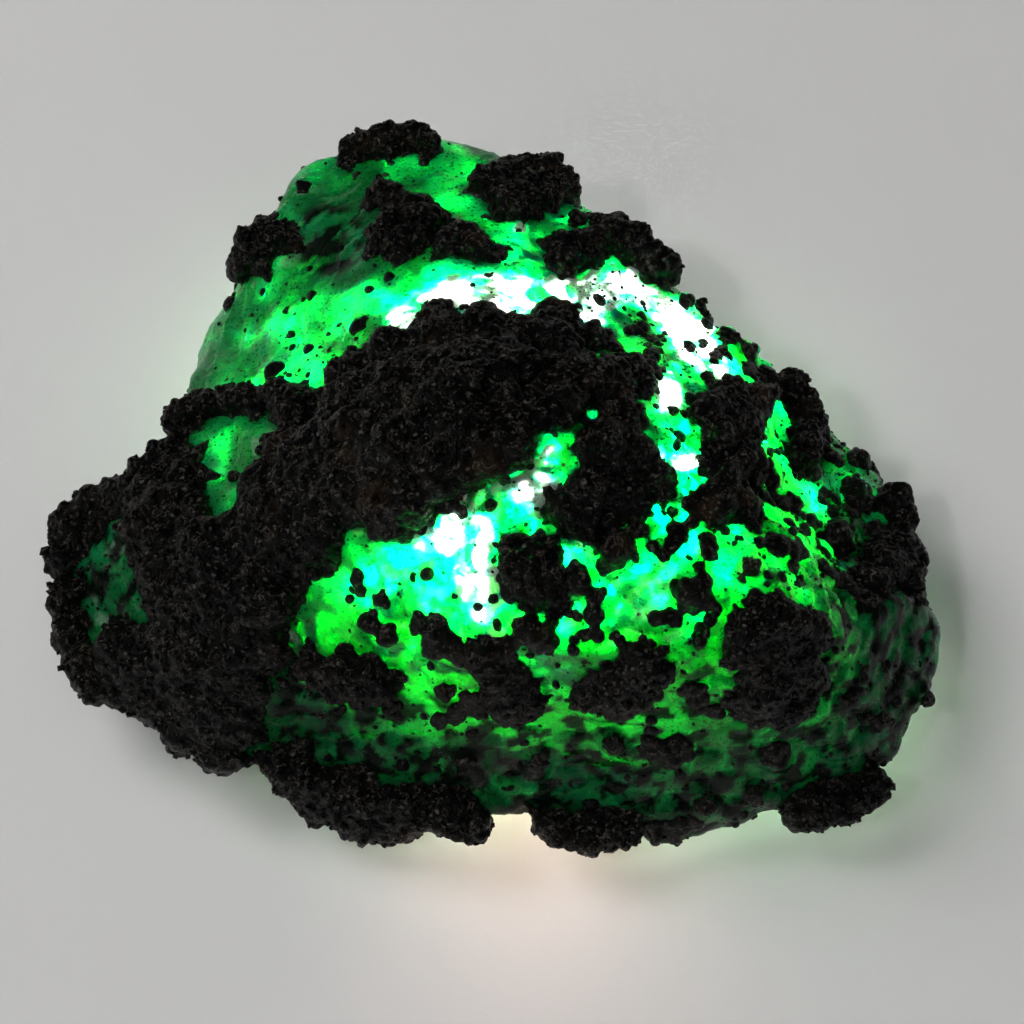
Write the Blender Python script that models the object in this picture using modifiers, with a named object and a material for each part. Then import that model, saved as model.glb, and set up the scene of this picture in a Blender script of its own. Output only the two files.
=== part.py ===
"""A rough emerald: a cloudy green crystal mass with a knobbly crust of dark mica schist.

+Z is up. The stone stands on Z = 0 on worn-flat lumps of its crust, and the middle of its box is at
X = Y = 0. It is built in millimetres and turned to metres at the end.

The stone is surveyed from one eye that looks down on it. A place on it is given as it is seen from
there, in survey points across and down from the corner of a square of 1024 by 1024 points. A point
is POINT millimetres wide at the middle of the stone.
"""

import itertools
import math
import random

import bmesh
import bpy
import numpy as np
from mathutils import Matrix, Vector, noise
from mathutils.bvhtree import BVHTree

MM = 0.001
SEED = 7

# The eye and its square of survey points
POINT = 0.05
SQUARE_MIDDLE = 512
SIGHT_ELEVATION = math.radians(60)
EYE_DISTANCE = 140.0
SIGHT_HEIGHT = 8.0
TARGET = Vector((0, 0, SIGHT_HEIGHT))
RIGHT = Vector((1, 0, 0))
UPWARD = Vector((0, math.sin(SIGHT_ELEVATION), math.cos(SIGHT_ELEVATION)))
TOWARD = Vector((0, -math.cos(SIGHT_ELEVATION), math.sin(SIGHT_ELEVATION)))
EYE = TARGET + TOWARD * EYE_DISTANCE

# The rim of the green stone, in survey points, and the point its outline is drawn around
HEART = (500, 510)
RIM = (
    (934, 665), (940, 645), (938, 625), (926, 603), (915, 585), (905, 560), (896, 535), (890, 512),
    (880, 492), (866, 470), (848, 452), (832, 440), (812, 428), (796, 408), (782, 392), (768, 376),
    (750, 358), (730, 342), (708, 330), (694, 316), (678, 300), (664, 284), (650, 268), (634, 250),
    (612, 234), (590, 218), (570, 200), (552, 184), (534, 176), (512, 172), (496, 160), (478, 151),
    (456, 147), (436, 142), (412, 146), (388, 150), (364, 154), (340, 158), (318, 166), (298, 178),
    (284, 200), (274, 226), (264, 248), (250, 268), (240, 290), (226, 308), (212, 328), (202, 350),
    (194, 376), (190, 400), (188, 425), (182, 448), (172, 470), (150, 484), (124, 500), (98, 516),
    (78, 536), (66, 560), (68, 590), (72, 620), (78, 650), (96, 676), (124, 692), (152, 702),
    (180, 720), (204, 738), (232, 750), (262, 756), (286, 770), (314, 790), (344, 806), (372, 814),
    (404, 818), (436, 818), (468, 818), (500, 816), (530, 814), (560, 824), (592, 832), (624, 826),
    (656, 826), (690, 822), (724, 820), (758, 814), (790, 806), (820, 804), (848, 796), (868, 782),
    (884, 764), (898, 748), (908, 730), (916, 710), (924, 690),
)
RIM_HEIGHT_FRONT = 3.4
RIM_HEIGHT_BACK = 8.0

# Spot heights of the upper side, as (across, down) in survey points and the height in millimetres
ROOF = (
    (100, 580, 9.5), (130, 655, 8.2), (200, 560, 12.5), (200, 690, 8.5), (300, 480, 16.0),
    (300, 600, 13.5), (300, 700, 10.0), (300, 755, 6.8), (400, 420, 18.6), (500, 400, 19.4),
    (600, 400, 19.0), (650, 460, 18.0), (400, 790, 6.2), (430, 560, 16.6), (350, 590, 14.6),
    (560, 560, 17.0), (650, 560, 17.0), (600, 640, 15.4), (480, 640, 15.0), (380, 665, 12.4),
    (450, 740, 9.6), (600, 750, 9.4), (700, 740, 10.2), (600, 800, 5.8), (800, 785, 6.0),
    (780, 680, 13.4), (800, 620, 15.0), (740, 560, 16.5), (700, 420, 16.6), (780, 480, 14.6),
    (860, 480, 10.8), (870, 560, 11.6), (870, 650, 12.0), (905, 700, 8.2), (820, 740, 9.4),
    (500, 300, 17.2), (400, 310, 16.2), (600, 300, 16.2), (520, 190, 14.2), (400, 180, 13.0),
    (320, 200, 11.8), (265, 285, 11.6), (225, 365, 11.6), (330, 340, 15.2), (230, 450, 13.8),
)
ROOF_SOFTNESS = 1.5
HOLLOW_HEIGHT = 1.9
SHOULDER = 0.5
TUCK = 0.45

# Dark partings that run into the stone, as the survey points of both ends, depth and half width
PARTINGS = (
    (255, 256, 380, 236, 1.0, 0.6), (380, 236, 470, 250, 0.7, 0.7), (330, 395, 250, 470, 0.7, 0.9),
    (470, 600, 430, 700, 0.5, 0.8), (640, 560, 760, 520, 0.5, 0.9),
)

# Flat faces where the stone broke, as the survey point of the middle, depth and reach
BREAKS = (
    (330, 205, 0.7, 6), (300, 320, 0.8, 7), (400, 285, 0.5, 5), (560, 290, 0.6, 6),
    (640, 300, 0.5, 5), (700, 380, 0.6, 6), (830, 500, 0.6, 6), (420, 570, 0.6, 7),
    (520, 520, 0.4, 5), (600, 600, 0.5, 6), (690, 640, 0.6, 6), (380, 720, 0.7, 7),
    (560, 730, 0.8, 7), (700, 760, 0.7, 7), (830, 700, 0.7, 7), (890, 640, 0.5, 5),
    (230, 380, 0.5, 5), (480, 190, 0.5, 6),
)
BREAK_FLATNESS = 0.85

# Swells of the stone's skin, as period and height
SWELLS = ((9.0, 0.9), (4.0, 0.5), (2.0, 0.25))

# Lumps of schist that stand alone on the green, as survey point and radius in points
LONE_LUMPS = (
    (358, 325, 10), (272, 370, 10), (578, 579, 15), (617, 550, 17), (528, 630, 14), (546, 640, 11),
    (435, 632, 13), (440, 650, 12), (460, 657, 10), (444, 693, 10), (597, 596, 9), (595, 617, 9),
    (693, 592, 18), (709, 548, 11), (780, 545, 14), (797, 550, 11), (795, 503, 11), (812, 522, 10),
    (855, 495, 15), (838, 540, 15), (822, 568, 10), (838, 582, 11), (862, 457, 10), (834, 458, 9),
    (813, 474, 9), (686, 300, 9), (578, 218, 10), (728, 336, 11), (748, 351, 11), (764, 372, 10),
    (675, 750, 14), (695, 693, 13), (775, 755, 13), (655, 618, 9), (380, 600, 9), (367, 622, 11),
    (385, 637, 12), (705, 806, 10), (755, 795, 10), (752, 566, 10), (772, 480, 9), (303, 186, 8),
    (930, 700, 10), (616, 748, 10), (540, 765, 10), (850, 700, 11), (880, 720, 11), (465, 765, 10),
    (654, 828, 13), (674, 828, 14), (694, 824, 12),
)

# Patches of crust, as circles of survey point and radius in points
SEEN_CRUST = {
    "crust_main": (
        (75, 530, 24), (58, 560, 18), (66, 600, 16), (70, 635, 18), (84, 662, 20), (104, 680, 22),
        (132, 690, 24), (160, 702, 24), (190, 725, 26), (222, 748, 24), (100, 508, 20),
        (125, 494, 20), (150, 480, 20), (170, 458, 18), (182, 422, 16), (160, 520, 32),
        (170, 560, 26), (172, 600, 30), (150, 650, 30), (118, 655, 20), (190, 650, 36),
        (215, 600, 36), (215, 550, 34), (192, 478, 20), (196, 510, 20), (250, 640, 34),
        (255, 590, 38), (265, 540, 36), (225, 700, 30), (256, 688, 16), (190, 690, 30),
        (238, 722, 22), (205, 412, 14), (230, 406, 12), (254, 404, 14), (280, 500, 32),
        (290, 455, 30), (300, 418, 28), (284, 400, 18), (330, 480, 38), (318, 525, 32),
        (350, 440, 38), (350, 400, 28), (358, 372, 18), (390, 500, 36), (400, 450, 40),
        (400, 400, 38), (395, 355, 24), (432, 345, 28), (440, 320, 16), (415, 508, 22),
        (450, 390, 38), (455, 440, 40), (440, 476, 24), (485, 345, 26), (480, 326, 14),
        (505, 380, 38), (505, 430, 36), (490, 466, 18), (520, 345, 22), (548, 350, 28),
        (550, 324, 16), (560, 390, 36), (540, 415, 26), (590, 350, 24), (600, 390, 30),
        (640, 345, 26), (640, 322, 16), (625, 378, 26), (620, 420, 30), (604, 450, 28),
        (630, 458, 20), (650, 478, 16), (592, 488, 26), (566, 508, 20), (622, 498, 18), (580, 524, 16),
        (140, 668, 18), (130, 632, 14), (200, 716, 18), (240, 664, 20), (160, 585, 18), (212, 660, 20),
    ),
    "crust_crown": ((352, 150, 16), (372, 142, 18), (392, 146, 15), (412, 148, 12), (428, 152, 9)),
    "crust_left_notch": ((272, 234, 15), (256, 248, 16), (284, 240, 12), (247, 270, 12), (264, 262, 11)),
    "crust_upper_ledge": (
        (385, 245, 14), (400, 228, 18), (422, 216, 17), (408, 250, 13), (382, 200, 13), (430, 225, 13),
        (398, 208, 13),
    ),
    "crust_upper_step": ((464, 240, 16), (476, 256, 14), (452, 252, 14)),
    "crust_north_knob": (
        (500, 180, 14), (520, 178, 19), (545, 178, 19), (562, 188, 12), (505, 205, 17), (530, 206, 18),
        (546, 208, 13), (484, 190, 12), (520, 216, 14), (504, 214, 12), (538, 192, 14),
    ),
    "crust_north_east": (
        (563, 254, 15), (580, 264, 14), (560, 268, 11), (597, 248, 10), (610, 234, 15), (630, 245, 15),
        (648, 262, 13), (618, 250, 10), (662, 272, 9),
    ),
    "crust_east_rim": ((786, 388, 12), (800, 408, 15), (808, 428, 14), (802, 446, 13), (798, 463, 11)),
    "crust_east_knob": (
        (710, 412, 16), (735, 405, 16), (748, 418, 13), (725, 425, 13), (716, 452, 13), (735, 465, 13),
        (750, 471, 9), (722, 482, 12), (736, 442, 12), (716, 506, 12), (737, 511, 11), (700, 420, 12),
        (722, 400, 12), (756, 408, 11), (712, 438, 12),
    ),
    "crust_right_rim": (
        (893, 500, 13), (900, 518, 12), (888, 545, 16), (904, 558, 15), (880, 575, 17), (900, 585, 13),
        (866, 586, 13), (876, 560, 14), (895, 572, 14),
    ),
    "crust_right_face": (
        (742, 636, 16), (765, 618, 18), (790, 624, 17), (775, 640, 15), (810, 628, 11), (760, 665, 15),
        (790, 665, 22), (808, 672, 13), (765, 690, 17), (785, 706, 13), (756, 706, 12), (740, 652, 12),
        (775, 675, 16), (800, 690, 12), (752, 690, 12),
    ),
    "crust_middle": ((514, 560, 16), (534, 557, 15), (546, 572, 13), (520, 580, 16), (536, 590, 11)),
    "crust_front_bar": (
        (482, 649, 13), (492, 666, 16), (508, 680, 18), (500, 696, 15), (516, 706, 14), (529, 694, 14),
    ),
    "crust_front_left": (
        (320, 670, 13), (340, 664, 17), (362, 668, 18), (385, 682, 14), (346, 684, 13), (368, 688, 13),
    ),
    "crust_front_right": (
        (598, 690, 12), (612, 682, 16), (635, 668, 17), (655, 666, 13), (632, 690, 14), (612, 698, 10),
        (640, 656, 12),
    ),
    "crust_lower_left": (
        (282, 762, 18), (302, 776, 20), (320, 796, 22), (345, 802, 20), (362, 816, 22), (388, 820, 20),
        (408, 815, 18), (395, 796, 14), (432, 808, 18), (455, 813, 18), (474, 818, 12), (264, 754, 14),
        (300, 762, 16), (328, 778, 16), (352, 788, 16), (376, 800, 18), (420, 796, 14), (446, 797, 13),
    ),
    "crust_lower_middle": ((548, 829, 12), (570, 833, 14), (592, 838, 14), (607, 842, 12), (628, 829, 12)),
    "crust_lower_right": (
        (803, 822, 15), (825, 818, 18), (845, 808, 16), (862, 795, 16), (877, 783, 13), (850, 785, 12),
    ),
}

# Patches on the sides turned away, as the side and circles of across, height and radius in
# millimetres. Across runs to the right of someone who looks at that side, and from the left to the
# right of the stone for the side below, where the height is the distance from the front.
HIDDEN_CRUST = {
    "crust_back_left": ("back", ((8.0, 3.8, 1.4), (9.6, 3.2, 1.5), (11.2, 4.0, 1.3), (6.6, 3.2, 1.1))),
    "crust_back_middle": ("back", ((-1.0, 3.8, 1.4), (0.8, 3.2, 1.5), (2.4, 4.0, 1.2))),
    "crust_back_right": ("back", ((-9.4, 4.0, 1.4), (-10.8, 3.4, 1.4), (-8.0, 3.2, 1.3))),
    "crust_left_side": ("left", ((-8.6, 3.6, 1.4), (-7.2, 3.0, 1.5), (-5.8, 3.6, 1.3))),
    "crust_right_side": ("right", ((4.6, 3.0, 1.3), (6.0, 2.8, 1.4), (7.4, 3.2, 1.2))),
    "crust_belly": ("below", ((-1.0, 4.4, 1.6), (0.8, 5.6, 1.6), (2.6, 4.4, 1.4), (0.8, 3.2, 1.4))),
    "crust_foot_left": ("below", ((-14.6, -2.4, 2.1), (-12.6, -0.8, 1.8), (-15.2, 0.2, 1.7))),
    "crust_foot_front": ("below", ((1.6, -9.6, 2.0), (4.4, -9.2, 1.9), (-1.0, -8.6, 1.6))),
    "crust_foot_right": ("below", ((13.8, 2.0, 2.1), (15.4, -0.6, 1.8), (12.2, 4.2, 1.7))),
    "crust_foot_back": ("below", ((-5.0, 16.8, 2.1), (-2.2, 17.4, 1.9), (-7.2, 15.2, 1.7))),
}
FOOT = "crust_foot"

# Crust: pads that follow the skin, lumps on most of them, and the gap that parts it from the stone
PLACE_SPACING = 1.0
PLACE_MARGIN = 0.5
BRIDGE_LOOK, BRIDGE_STEPS = 1.5, 5
PAD_RADIUS, PAD_THICKNESS, PAD_RISE = (0.8, 1.25), 1.15, 0.1
LUMP_SHARE, LUMP_RISE = (0.45, 0.85), (0.5, 0.9)
SMALLEST = 0.4
FOOT_PRESS = 0.7
CRUST_GAP = 0.38
RIM_OVERHANG, RIM_REACH, RIM_SLACK = 0.3, 1.4, 0.25
REMESH_SIZE = 0.3

STONE_SUBDIVISIONS = 6
LUMP_SUBDIVISIONS = 3
EMERALD_TRIANGLES = 3200
CUTTER_TRIANGLES = 8000
REDUCE_ATTEMPTS = 8
TRIANGLES_PER_PATCH, TRIANGLES_PER_PLACE = 50, 10

EMERALD_GREEN = (0.02, 0.42, 0.13, 1)
SCHIST_BLACK = (0.018, 0.015, 0.013, 1)


def clear_scene():
    """Removes whatever the file holds at the start."""
    for old in list(bpy.data.objects):
        bpy.data.objects.remove(old)


def new_collection(name):
    """A collection in the scene."""
    collection = bpy.data.collections.new(name)
    bpy.context.scene.collection.children.link(collection)
    return collection


def new_material(name, colour, roughness, transmission=0.0):
    """A Principled material."""
    material = bpy.data.materials.new(name)
    material.use_nodes = True
    shader = material.node_tree.nodes["Principled BSDF"]
    shader.inputs["Base Color"].default_value = colour
    shader.inputs["Roughness"].default_value = roughness
    shader.inputs["Metallic"].default_value = 0.0
    shader.inputs["Transmission Weight"].default_value = transmission
    shader.inputs["IOR"].default_value = 1.58
    material.diffuse_color = colour
    return material


def survey_mm(x, y):
    """A survey point as millimetres across and up from the middle of the square."""
    return (x - SQUARE_MIDDLE) * POINT, (SQUARE_MIDDLE - y) * POINT


def sight_point(across, up, height):
    """The place on the sight line through (across, up) that is this high above the table."""
    rise = up * UPWARD.z
    reach = (height - SIGHT_HEIGHT - rise) / (TOWARD.z - rise / EYE_DISTANCE)
    shrink = 1 - reach / EYE_DISTANCE
    return TARGET + (RIGHT * across + UPWARD * up) * shrink + TOWARD * reach


def rim_function():
    """A function that gives the rim's distance from the heart at an angle."""
    heart = np.array(survey_mm(*HEART))
    places = np.array([survey_mm(*point) for point in RIM]) - heart
    angles = np.arctan2(places[:, 1], places[:, 0])
    radii = np.hypot(places[:, 0], places[:, 1])
    return lambda angle: float(np.interp(angle, angles, radii, period=2 * math.pi))


def roof_function():
    """A smooth height of the upper side that meets every spot height."""
    places = np.array([survey_mm(x, y) for x, y, _ in ROOF])
    heights = np.array([height for _, _, height in ROOF])
    mean = heights.mean()

    def kernel(offsets):
        return np.sqrt((offsets**2).sum(-1) + ROOF_SOFTNESS**2)

    weights = np.linalg.solve(kernel(places[:, None] - places[None]), heights - mean)
    return lambda across, up: float(mean + kernel(places - (across, up)) @ weights)


def rim_height(up):
    """The height of the rim here, which rises from the front to the back."""
    ups = [survey_mm(*point)[1] for point in RIM]
    share = (up - min(ups)) / (max(ups) - min(ups))
    return RIM_HEIGHT_FRONT + share * (RIM_HEIGHT_BACK - RIM_HEIGHT_FRONT)


def parting_depth(across, up):
    """How far the dark partings cut into the upper side here."""
    total = 0.0
    place = Vector((across, up))
    for x1, y1, x2, y2, depth, width in PARTINGS:
        start, end = Vector(survey_mm(x1, y1)), Vector(survey_mm(x2, y2))
        run = end - start
        share = min(1.0, max(0.0, (place - start).dot(run) / run.length_squared))
        distance = (place - start - run * share).length
        total += depth * math.exp(-((distance / width) ** 2))
    return total


def seat(skin, origin, direction):
    """Where a line from the origin first meets the skin, and the skin's normal there."""
    place, normal, _, _ = skin.ray_cast(origin, direction.normalized())
    return (place, normal) if place else None


def seen_seat(skin, across, up):
    """The seat that the eye sees here, or the highest place of a sight line that passes the rim."""
    found = seat(skin, EYE, sight_point(across, up, SIGHT_HEIGHT) - EYE)
    if found:
        return found
    places = [sight_point(across, up, rim_height(up) + step * 0.2) for step in range(30)]
    nearest = [skin.find_nearest(place) for place in places]
    least = min(distance for _, _, _, distance in nearest)
    if least > RIM_REACH:
        return None
    step = max(i for i, near in enumerate(nearest) if near[3] < least + RIM_SLACK)
    near, _, _, distance = nearest[step]
    normal = (places[step] - near).normalized()
    return near + normal * min(distance, RIM_OVERHANG), normal


def hidden_seat(skin, side, across, height):
    """The seat on a side that is turned away, or below."""
    origins = {
        "back": (Vector((-across, 60, height)), Vector((0, -1, 0))),
        "left": (Vector((-60, -across, height)), Vector((1, 0, 0))),
        "right": (Vector((60, across, height)), Vector((-1, 0, 0))),
        "below": (Vector((across, height, -50)), Vector((0, 0, 1))),
    }
    return seat(skin, *origins[side])


def break_flat(ball, place, normal, depth, reach):
    """Flattens the skin to a face this deep under a place on it."""
    for vert in ball.verts:
        offset = vert.co - place
        over = offset.dot(normal) + depth
        share = 1 - (offset.length / reach) ** 4
        if over > 0 and share > 0:
            vert.co -= normal * over * share * BREAK_FLATNESS


def stone_mesh():
    """The green stone alone: a ball drawn out to the rim, the roof and the hollow underside."""
    rim, roof = rim_function(), roof_function()
    heart = survey_mm(*HEART)
    ball = bmesh.new()
    bmesh.ops.create_icosphere(ball, subdivisions=STONE_SUBDIVISIONS, radius=1)
    for vert in ball.verts:
        x, y, z = vert.co
        angle = math.atan2(y, x)
        reach = rim(angle) * math.hypot(x, y)
        across = heart[0] + reach * math.cos(angle)
        up = heart[1] + reach * math.sin(angle)
        edge = rim_height(up)
        if z >= 0:
            full = roof(across, up) - parting_depth(across, up)
            height = edge + (full - edge) * z**SHOULDER
        else:
            height = edge + (HOLLOW_HEIGHT - edge) * (-z) ** TUCK
        vert.co = sight_point(across, up, height)
    ball.normal_update()
    for vert in ball.verts:
        swell = sum(depth * noise.noise(vert.co / period) for period, depth in SWELLS)
        facing = min(1.0, abs(vert.normal.dot(TOWARD)) * 2)
        vert.co += vert.normal * swell * facing
    skin = BVHTree.FromBMesh(ball)
    for x, y, depth, reach in BREAKS:
        place, normal = seen_seat(skin, *survey_mm(x, y))
        break_flat(ball, place, normal, depth, reach)
    return ball


def add_lump(mesh, place, normal, radius, thickness, rng):
    """Adds one rounded grain of schist, flattened along the normal, at this place."""
    turn = normal.to_track_quat("Z", "Y").to_matrix().to_4x4()
    spin = Matrix.Rotation(rng.uniform(0, math.pi), 4, "Z")
    stretch = Matrix.Diagonal((radius * rng.uniform(1.0, 1.15), radius, thickness, 1))
    bmesh.ops.create_icosphere(
        mesh, subdivisions=LUMP_SUBDIVISIONS, radius=1,
        matrix=Matrix.Translation(place) @ turn @ spin @ stretch,
    )


def to_object(mesh, name, material, collection):
    """An object of a bmesh, which is freed."""
    data = bpy.data.meshes.new(name)
    mesh.to_mesh(data)
    mesh.free()
    data.materials.append(material)
    made = bpy.data.objects.new(name, data)
    collection.objects.link(made)
    return made


def apply_modifiers(made):
    """Makes the object's mesh what its modifiers show."""
    graph = bpy.context.evaluated_depsgraph_get()
    data = bpy.data.meshes.new_from_object(made.evaluated_get(graph))
    made.modifiers.clear()
    made.data = data


def fuse(made):
    """Makes one skin of the object's overlapping shapes."""
    remesh = made.modifiers.new("one skin", "REMESH")
    remesh.mode = "VOXEL"
    remesh.voxel_size = REMESH_SIZE
    apply_modifiers(made)


def is_closed(made):
    """Whether every edge of the object joins just two faces."""
    mesh = bmesh.new()
    mesh.from_mesh(made.data)
    closed = all(edge.is_manifold for edge in mesh.edges)
    mesh.free()
    return closed


def reduce_to(made, triangles):
    """Leaves the object about this many triangles, or some more where that opens its skin."""
    full = made.data
    count = sum(len(face.vertices) - 2 for face in full.polygons)
    for attempt in range(REDUCE_ATTEMPTS):
        made.data = full.copy()
        decimate = made.modifiers.new("fewer faces", "DECIMATE")
        decimate.ratio = min(1.0, triangles * (1 + 0.06 * attempt) / count)
        apply_modifiers(made)
        if is_closed(made):
            return


def new_cutter(data, collection):
    """A hidden object that cuts others."""
    cutter = bpy.data.objects.new("cutter", data)
    collection.objects.link(cutter)
    cutter.hide_render = True
    cutter.display_type = "WIRE"
    return cutter


def swollen(made, by, collection):
    """A cutter: a copy of the object with its skin moved out by this much."""
    data = made.data.copy()
    normals = [vert.normal.copy() for vert in data.vertices]
    for vert, normal in zip(data.vertices, normals):
        vert.co += normal * by
    return new_cutter(data, collection)


def table_cutter(collection):
    """A cutter that takes away everything under Z = 0."""
    side = 100
    box = bmesh.new()
    bmesh.ops.create_cube(box, size=side, matrix=Matrix.Translation((0, 0, -side / 2)))
    data = bpy.data.meshes.new("table")
    box.to_mesh(data)
    box.free()
    return new_cutter(data, collection)


def keep_largest_body(made):
    """Deletes the crumbs that a cut leaves beside the main body."""
    mesh = bmesh.new()
    mesh.from_mesh(made.data)
    mesh.verts.ensure_lookup_table()
    seen, bodies = set(), []
    for start in mesh.verts:
        if start.index in seen:
            continue
        seen.add(start.index)
        edge, body = [start], []
        while edge:
            vert = edge.pop()
            body.append(vert)
            others = [link.other_vert(vert) for link in vert.link_edges]
            new = [other for other in others if other.index not in seen]
            seen.update(other.index for other in new)
            edge += new
        bodies.append(body)
    bodies.sort(key=len, reverse=True)
    crumbs = [vert for body in bodies[1:] for vert in body]
    bmesh.ops.delete(mesh, geom=crumbs, context="VERTS")
    mesh.to_mesh(made.data)
    mesh.free()


def cut(made, cutter):
    """Cuts the cutter out of the object and keeps the largest body."""
    boolean = made.modifiers.new("cut", "BOOLEAN")
    boolean.operation = "DIFFERENCE"
    boolean.solver = "EXACT"
    boolean.object = cutter
    apply_modifiers(made)
    keep_largest_body(made)


def clear_radius(place, radius, taken):
    """The radius left at a place beside the lumps of other patches."""
    for other, size in taken:
        radius = min(radius, (place - other).length - size - CRUST_GAP * 1.4)
    return radius


def crust_places(circles, rng):
    """The circles' middles and places between them, about PLACE_SPACING apart, with their radius."""
    small, large = PAD_RADIUS
    places = [(across, up, min(large, max(small, radius))) for across, up, radius in circles]
    for across, up, radius in circles:
        inside = radius - PLACE_MARGIN
        for _ in range(int(60 * radius**2) if inside > 0 else 0):
            angle, reach = rng.uniform(0, 2 * math.pi), inside * math.sqrt(rng.random())
            new = (across + reach * math.cos(angle), up + reach * math.sin(angle))
            if all(math.dist(new, old[:2]) > PLACE_SPACING for old in places):
                places.append((*new, rng.uniform(*PAD_RADIUS)))
    return places


def foot_mesh(skin, circles, seat_at, rng):
    """Lumps that reach from the underside down past the table."""
    mesh = bmesh.new()
    for across, up, radius in circles:
        place, _ = seat_at(skin, across, up)
        add_lump(mesh, place, Vector((0, 0, 1)), radius, place.z + FOOT_PRESS, rng)
    return mesh, len(circles)


def bridges(skin, seats):
    """Seats that fill the stretches of a steep skin between seats that look close together."""
    added = []
    for (across, up, place, _, radius), other in itertools.combinations(seats, 2):
        if math.dist((across, up), other[:2]) > BRIDGE_LOOK:
            continue
        steps = math.ceil((other[2] - place).length / PLACE_SPACING)
        for step in range(1, steps if steps <= BRIDGE_STEPS else 0):
            near, normal, _, _ = skin.find_nearest(place.lerp(other[2], step / steps))
            if all((near - old[0]).length > PLACE_SPACING for old in added):
                added.append((near, normal, radius))
    return added


def crust_mesh(skin, circles, seat_at, taken, rng):
    """A patch of pads and lumps on the skin that keeps clear of the lumps already taken."""
    seats = []
    for across, up, radius in crust_places(circles, rng):
        found = seat_at(skin, across, up)
        if found:
            seats.append((across, up, *found, radius))
    seats = [seat[2:] for seat in seats] + bridges(skin, seats)
    mesh, mine = bmesh.new(), []
    for place, normal, radius in seats:
        share, rise = rng.uniform(*LUMP_SHARE), rng.uniform(*LUMP_RISE)
        radius = clear_radius(place, radius, taken)
        if radius < SMALLEST:
            continue
        add_lump(mesh, place + normal * PAD_RISE, normal, radius, PAD_THICKNESS, rng)
        top, lump = place + normal * rise, radius * share
        add_lump(mesh, top, normal, lump, lump * rng.uniform(0.8, 1.0), rng)
        mine += [(place, radius * 1.15), (top, lump * 1.15)]
    taken += mine
    return mesh, len(mine) / 2


def build():
    """Builds the stone and its crust where they were surveyed."""
    clear_scene()
    parts, cutters = new_collection("rough_emerald"), new_collection("cutters")
    green = new_material("emerald", EMERALD_GREEN, 0.35, transmission=0.6)
    black = new_material("mica_schist", SCHIST_BLACK, 0.6)
    rng = random.Random(SEED)

    stone = stone_mesh()
    skin = BVHTree.FromBMesh(stone)
    for x, y, points in LONE_LUMPS:
        place, normal = seen_seat(skin, *survey_mm(x, y))
        radius = points * POINT
        add_lump(stone, place + normal * radius * 0.2, normal, radius, radius, rng)
    emerald = to_object(stone, "emerald", green, parts)
    fuse(emerald)
    reduce_to(emerald, EMERALD_TRIANGLES)
    cutter = swollen(emerald, CRUST_GAP, cutters)
    fuse(cutter)
    reduce_to(cutter, CUTTER_TRIANGLES)
    table = table_cutter(cutters)

    patches = []
    for name, circles in SEEN_CRUST.items():
        surveyed = [(*survey_mm(x, y), points * POINT) for x, y, points in circles]
        patches.append((name, surveyed, seen_seat))
    for name, (side, circles) in HIDDEN_CRUST.items():
        patches.append((name, circles, lambda skin, x, y, side=side: hidden_seat(skin, side, x, y)))
    taken, made = [], [emerald]
    for name, circles, seat_at in patches:
        on_foot = name.startswith(FOOT)
        if on_foot:
            mesh, count = foot_mesh(skin, circles, seat_at, rng)
        else:
            mesh, count = crust_mesh(skin, circles, seat_at, taken, rng)
        crust = to_object(mesh, name, black, parts)
        fuse(crust)
        cut(crust, cutter)
        fuse(crust)
        keep_largest_body(crust)
        reduce_to(crust, TRIANGLES_PER_PATCH + count * TRIANGLES_PER_PLACE)
        if min(vert.co.z for vert in crust.data.vertices) < 0:
            cut(crust, table)
        made.append(crust)
    bpy.data.objects.remove(cutter)
    bpy.data.objects.remove(table)
    return made


def stand(made):
    """Puts the middle of the box at the origin, and turns millimetres to metres."""
    points = np.array([vert.co for piece in made for vert in piece.data.vertices])
    low, high = points.min(0), points.max(0)
    middle = Vector(((low[0] + high[0]) / 2, (low[1] + high[1]) / 2, low[2]))
    print("moved by", [round(x, 3) for x in middle], "size", np.round(high - low, 2))
    for piece in made:
        piece.data.transform(Matrix.Scale(MM, 4) @ Matrix.Translation(-middle))


stand(build())
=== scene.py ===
"""A rough emerald on pale paper: cloudy green beryl under a knobbly crust of mica schist.

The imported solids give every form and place. Each is copied, given its fine relief and finished
here: the green stone with its broken plates, hillocks and etched cells, the crust with its grains,
and the loose grains that stick to the green. A lamp under the stone lights it through.

Shapes are worked in millimetres and turned to metres at the end. A place that is read from the
photograph is given in survey points, across and down in its square of 1024 by 1024.
"""

import logging
import math
from collections.abc import Iterable
from dataclasses import dataclass, field
from enum import Enum

import bmesh
import bpy
import numpy as np
from mathutils import Matrix, Vector, noise
from mathutils.bvhtree import BVHTree

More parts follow.
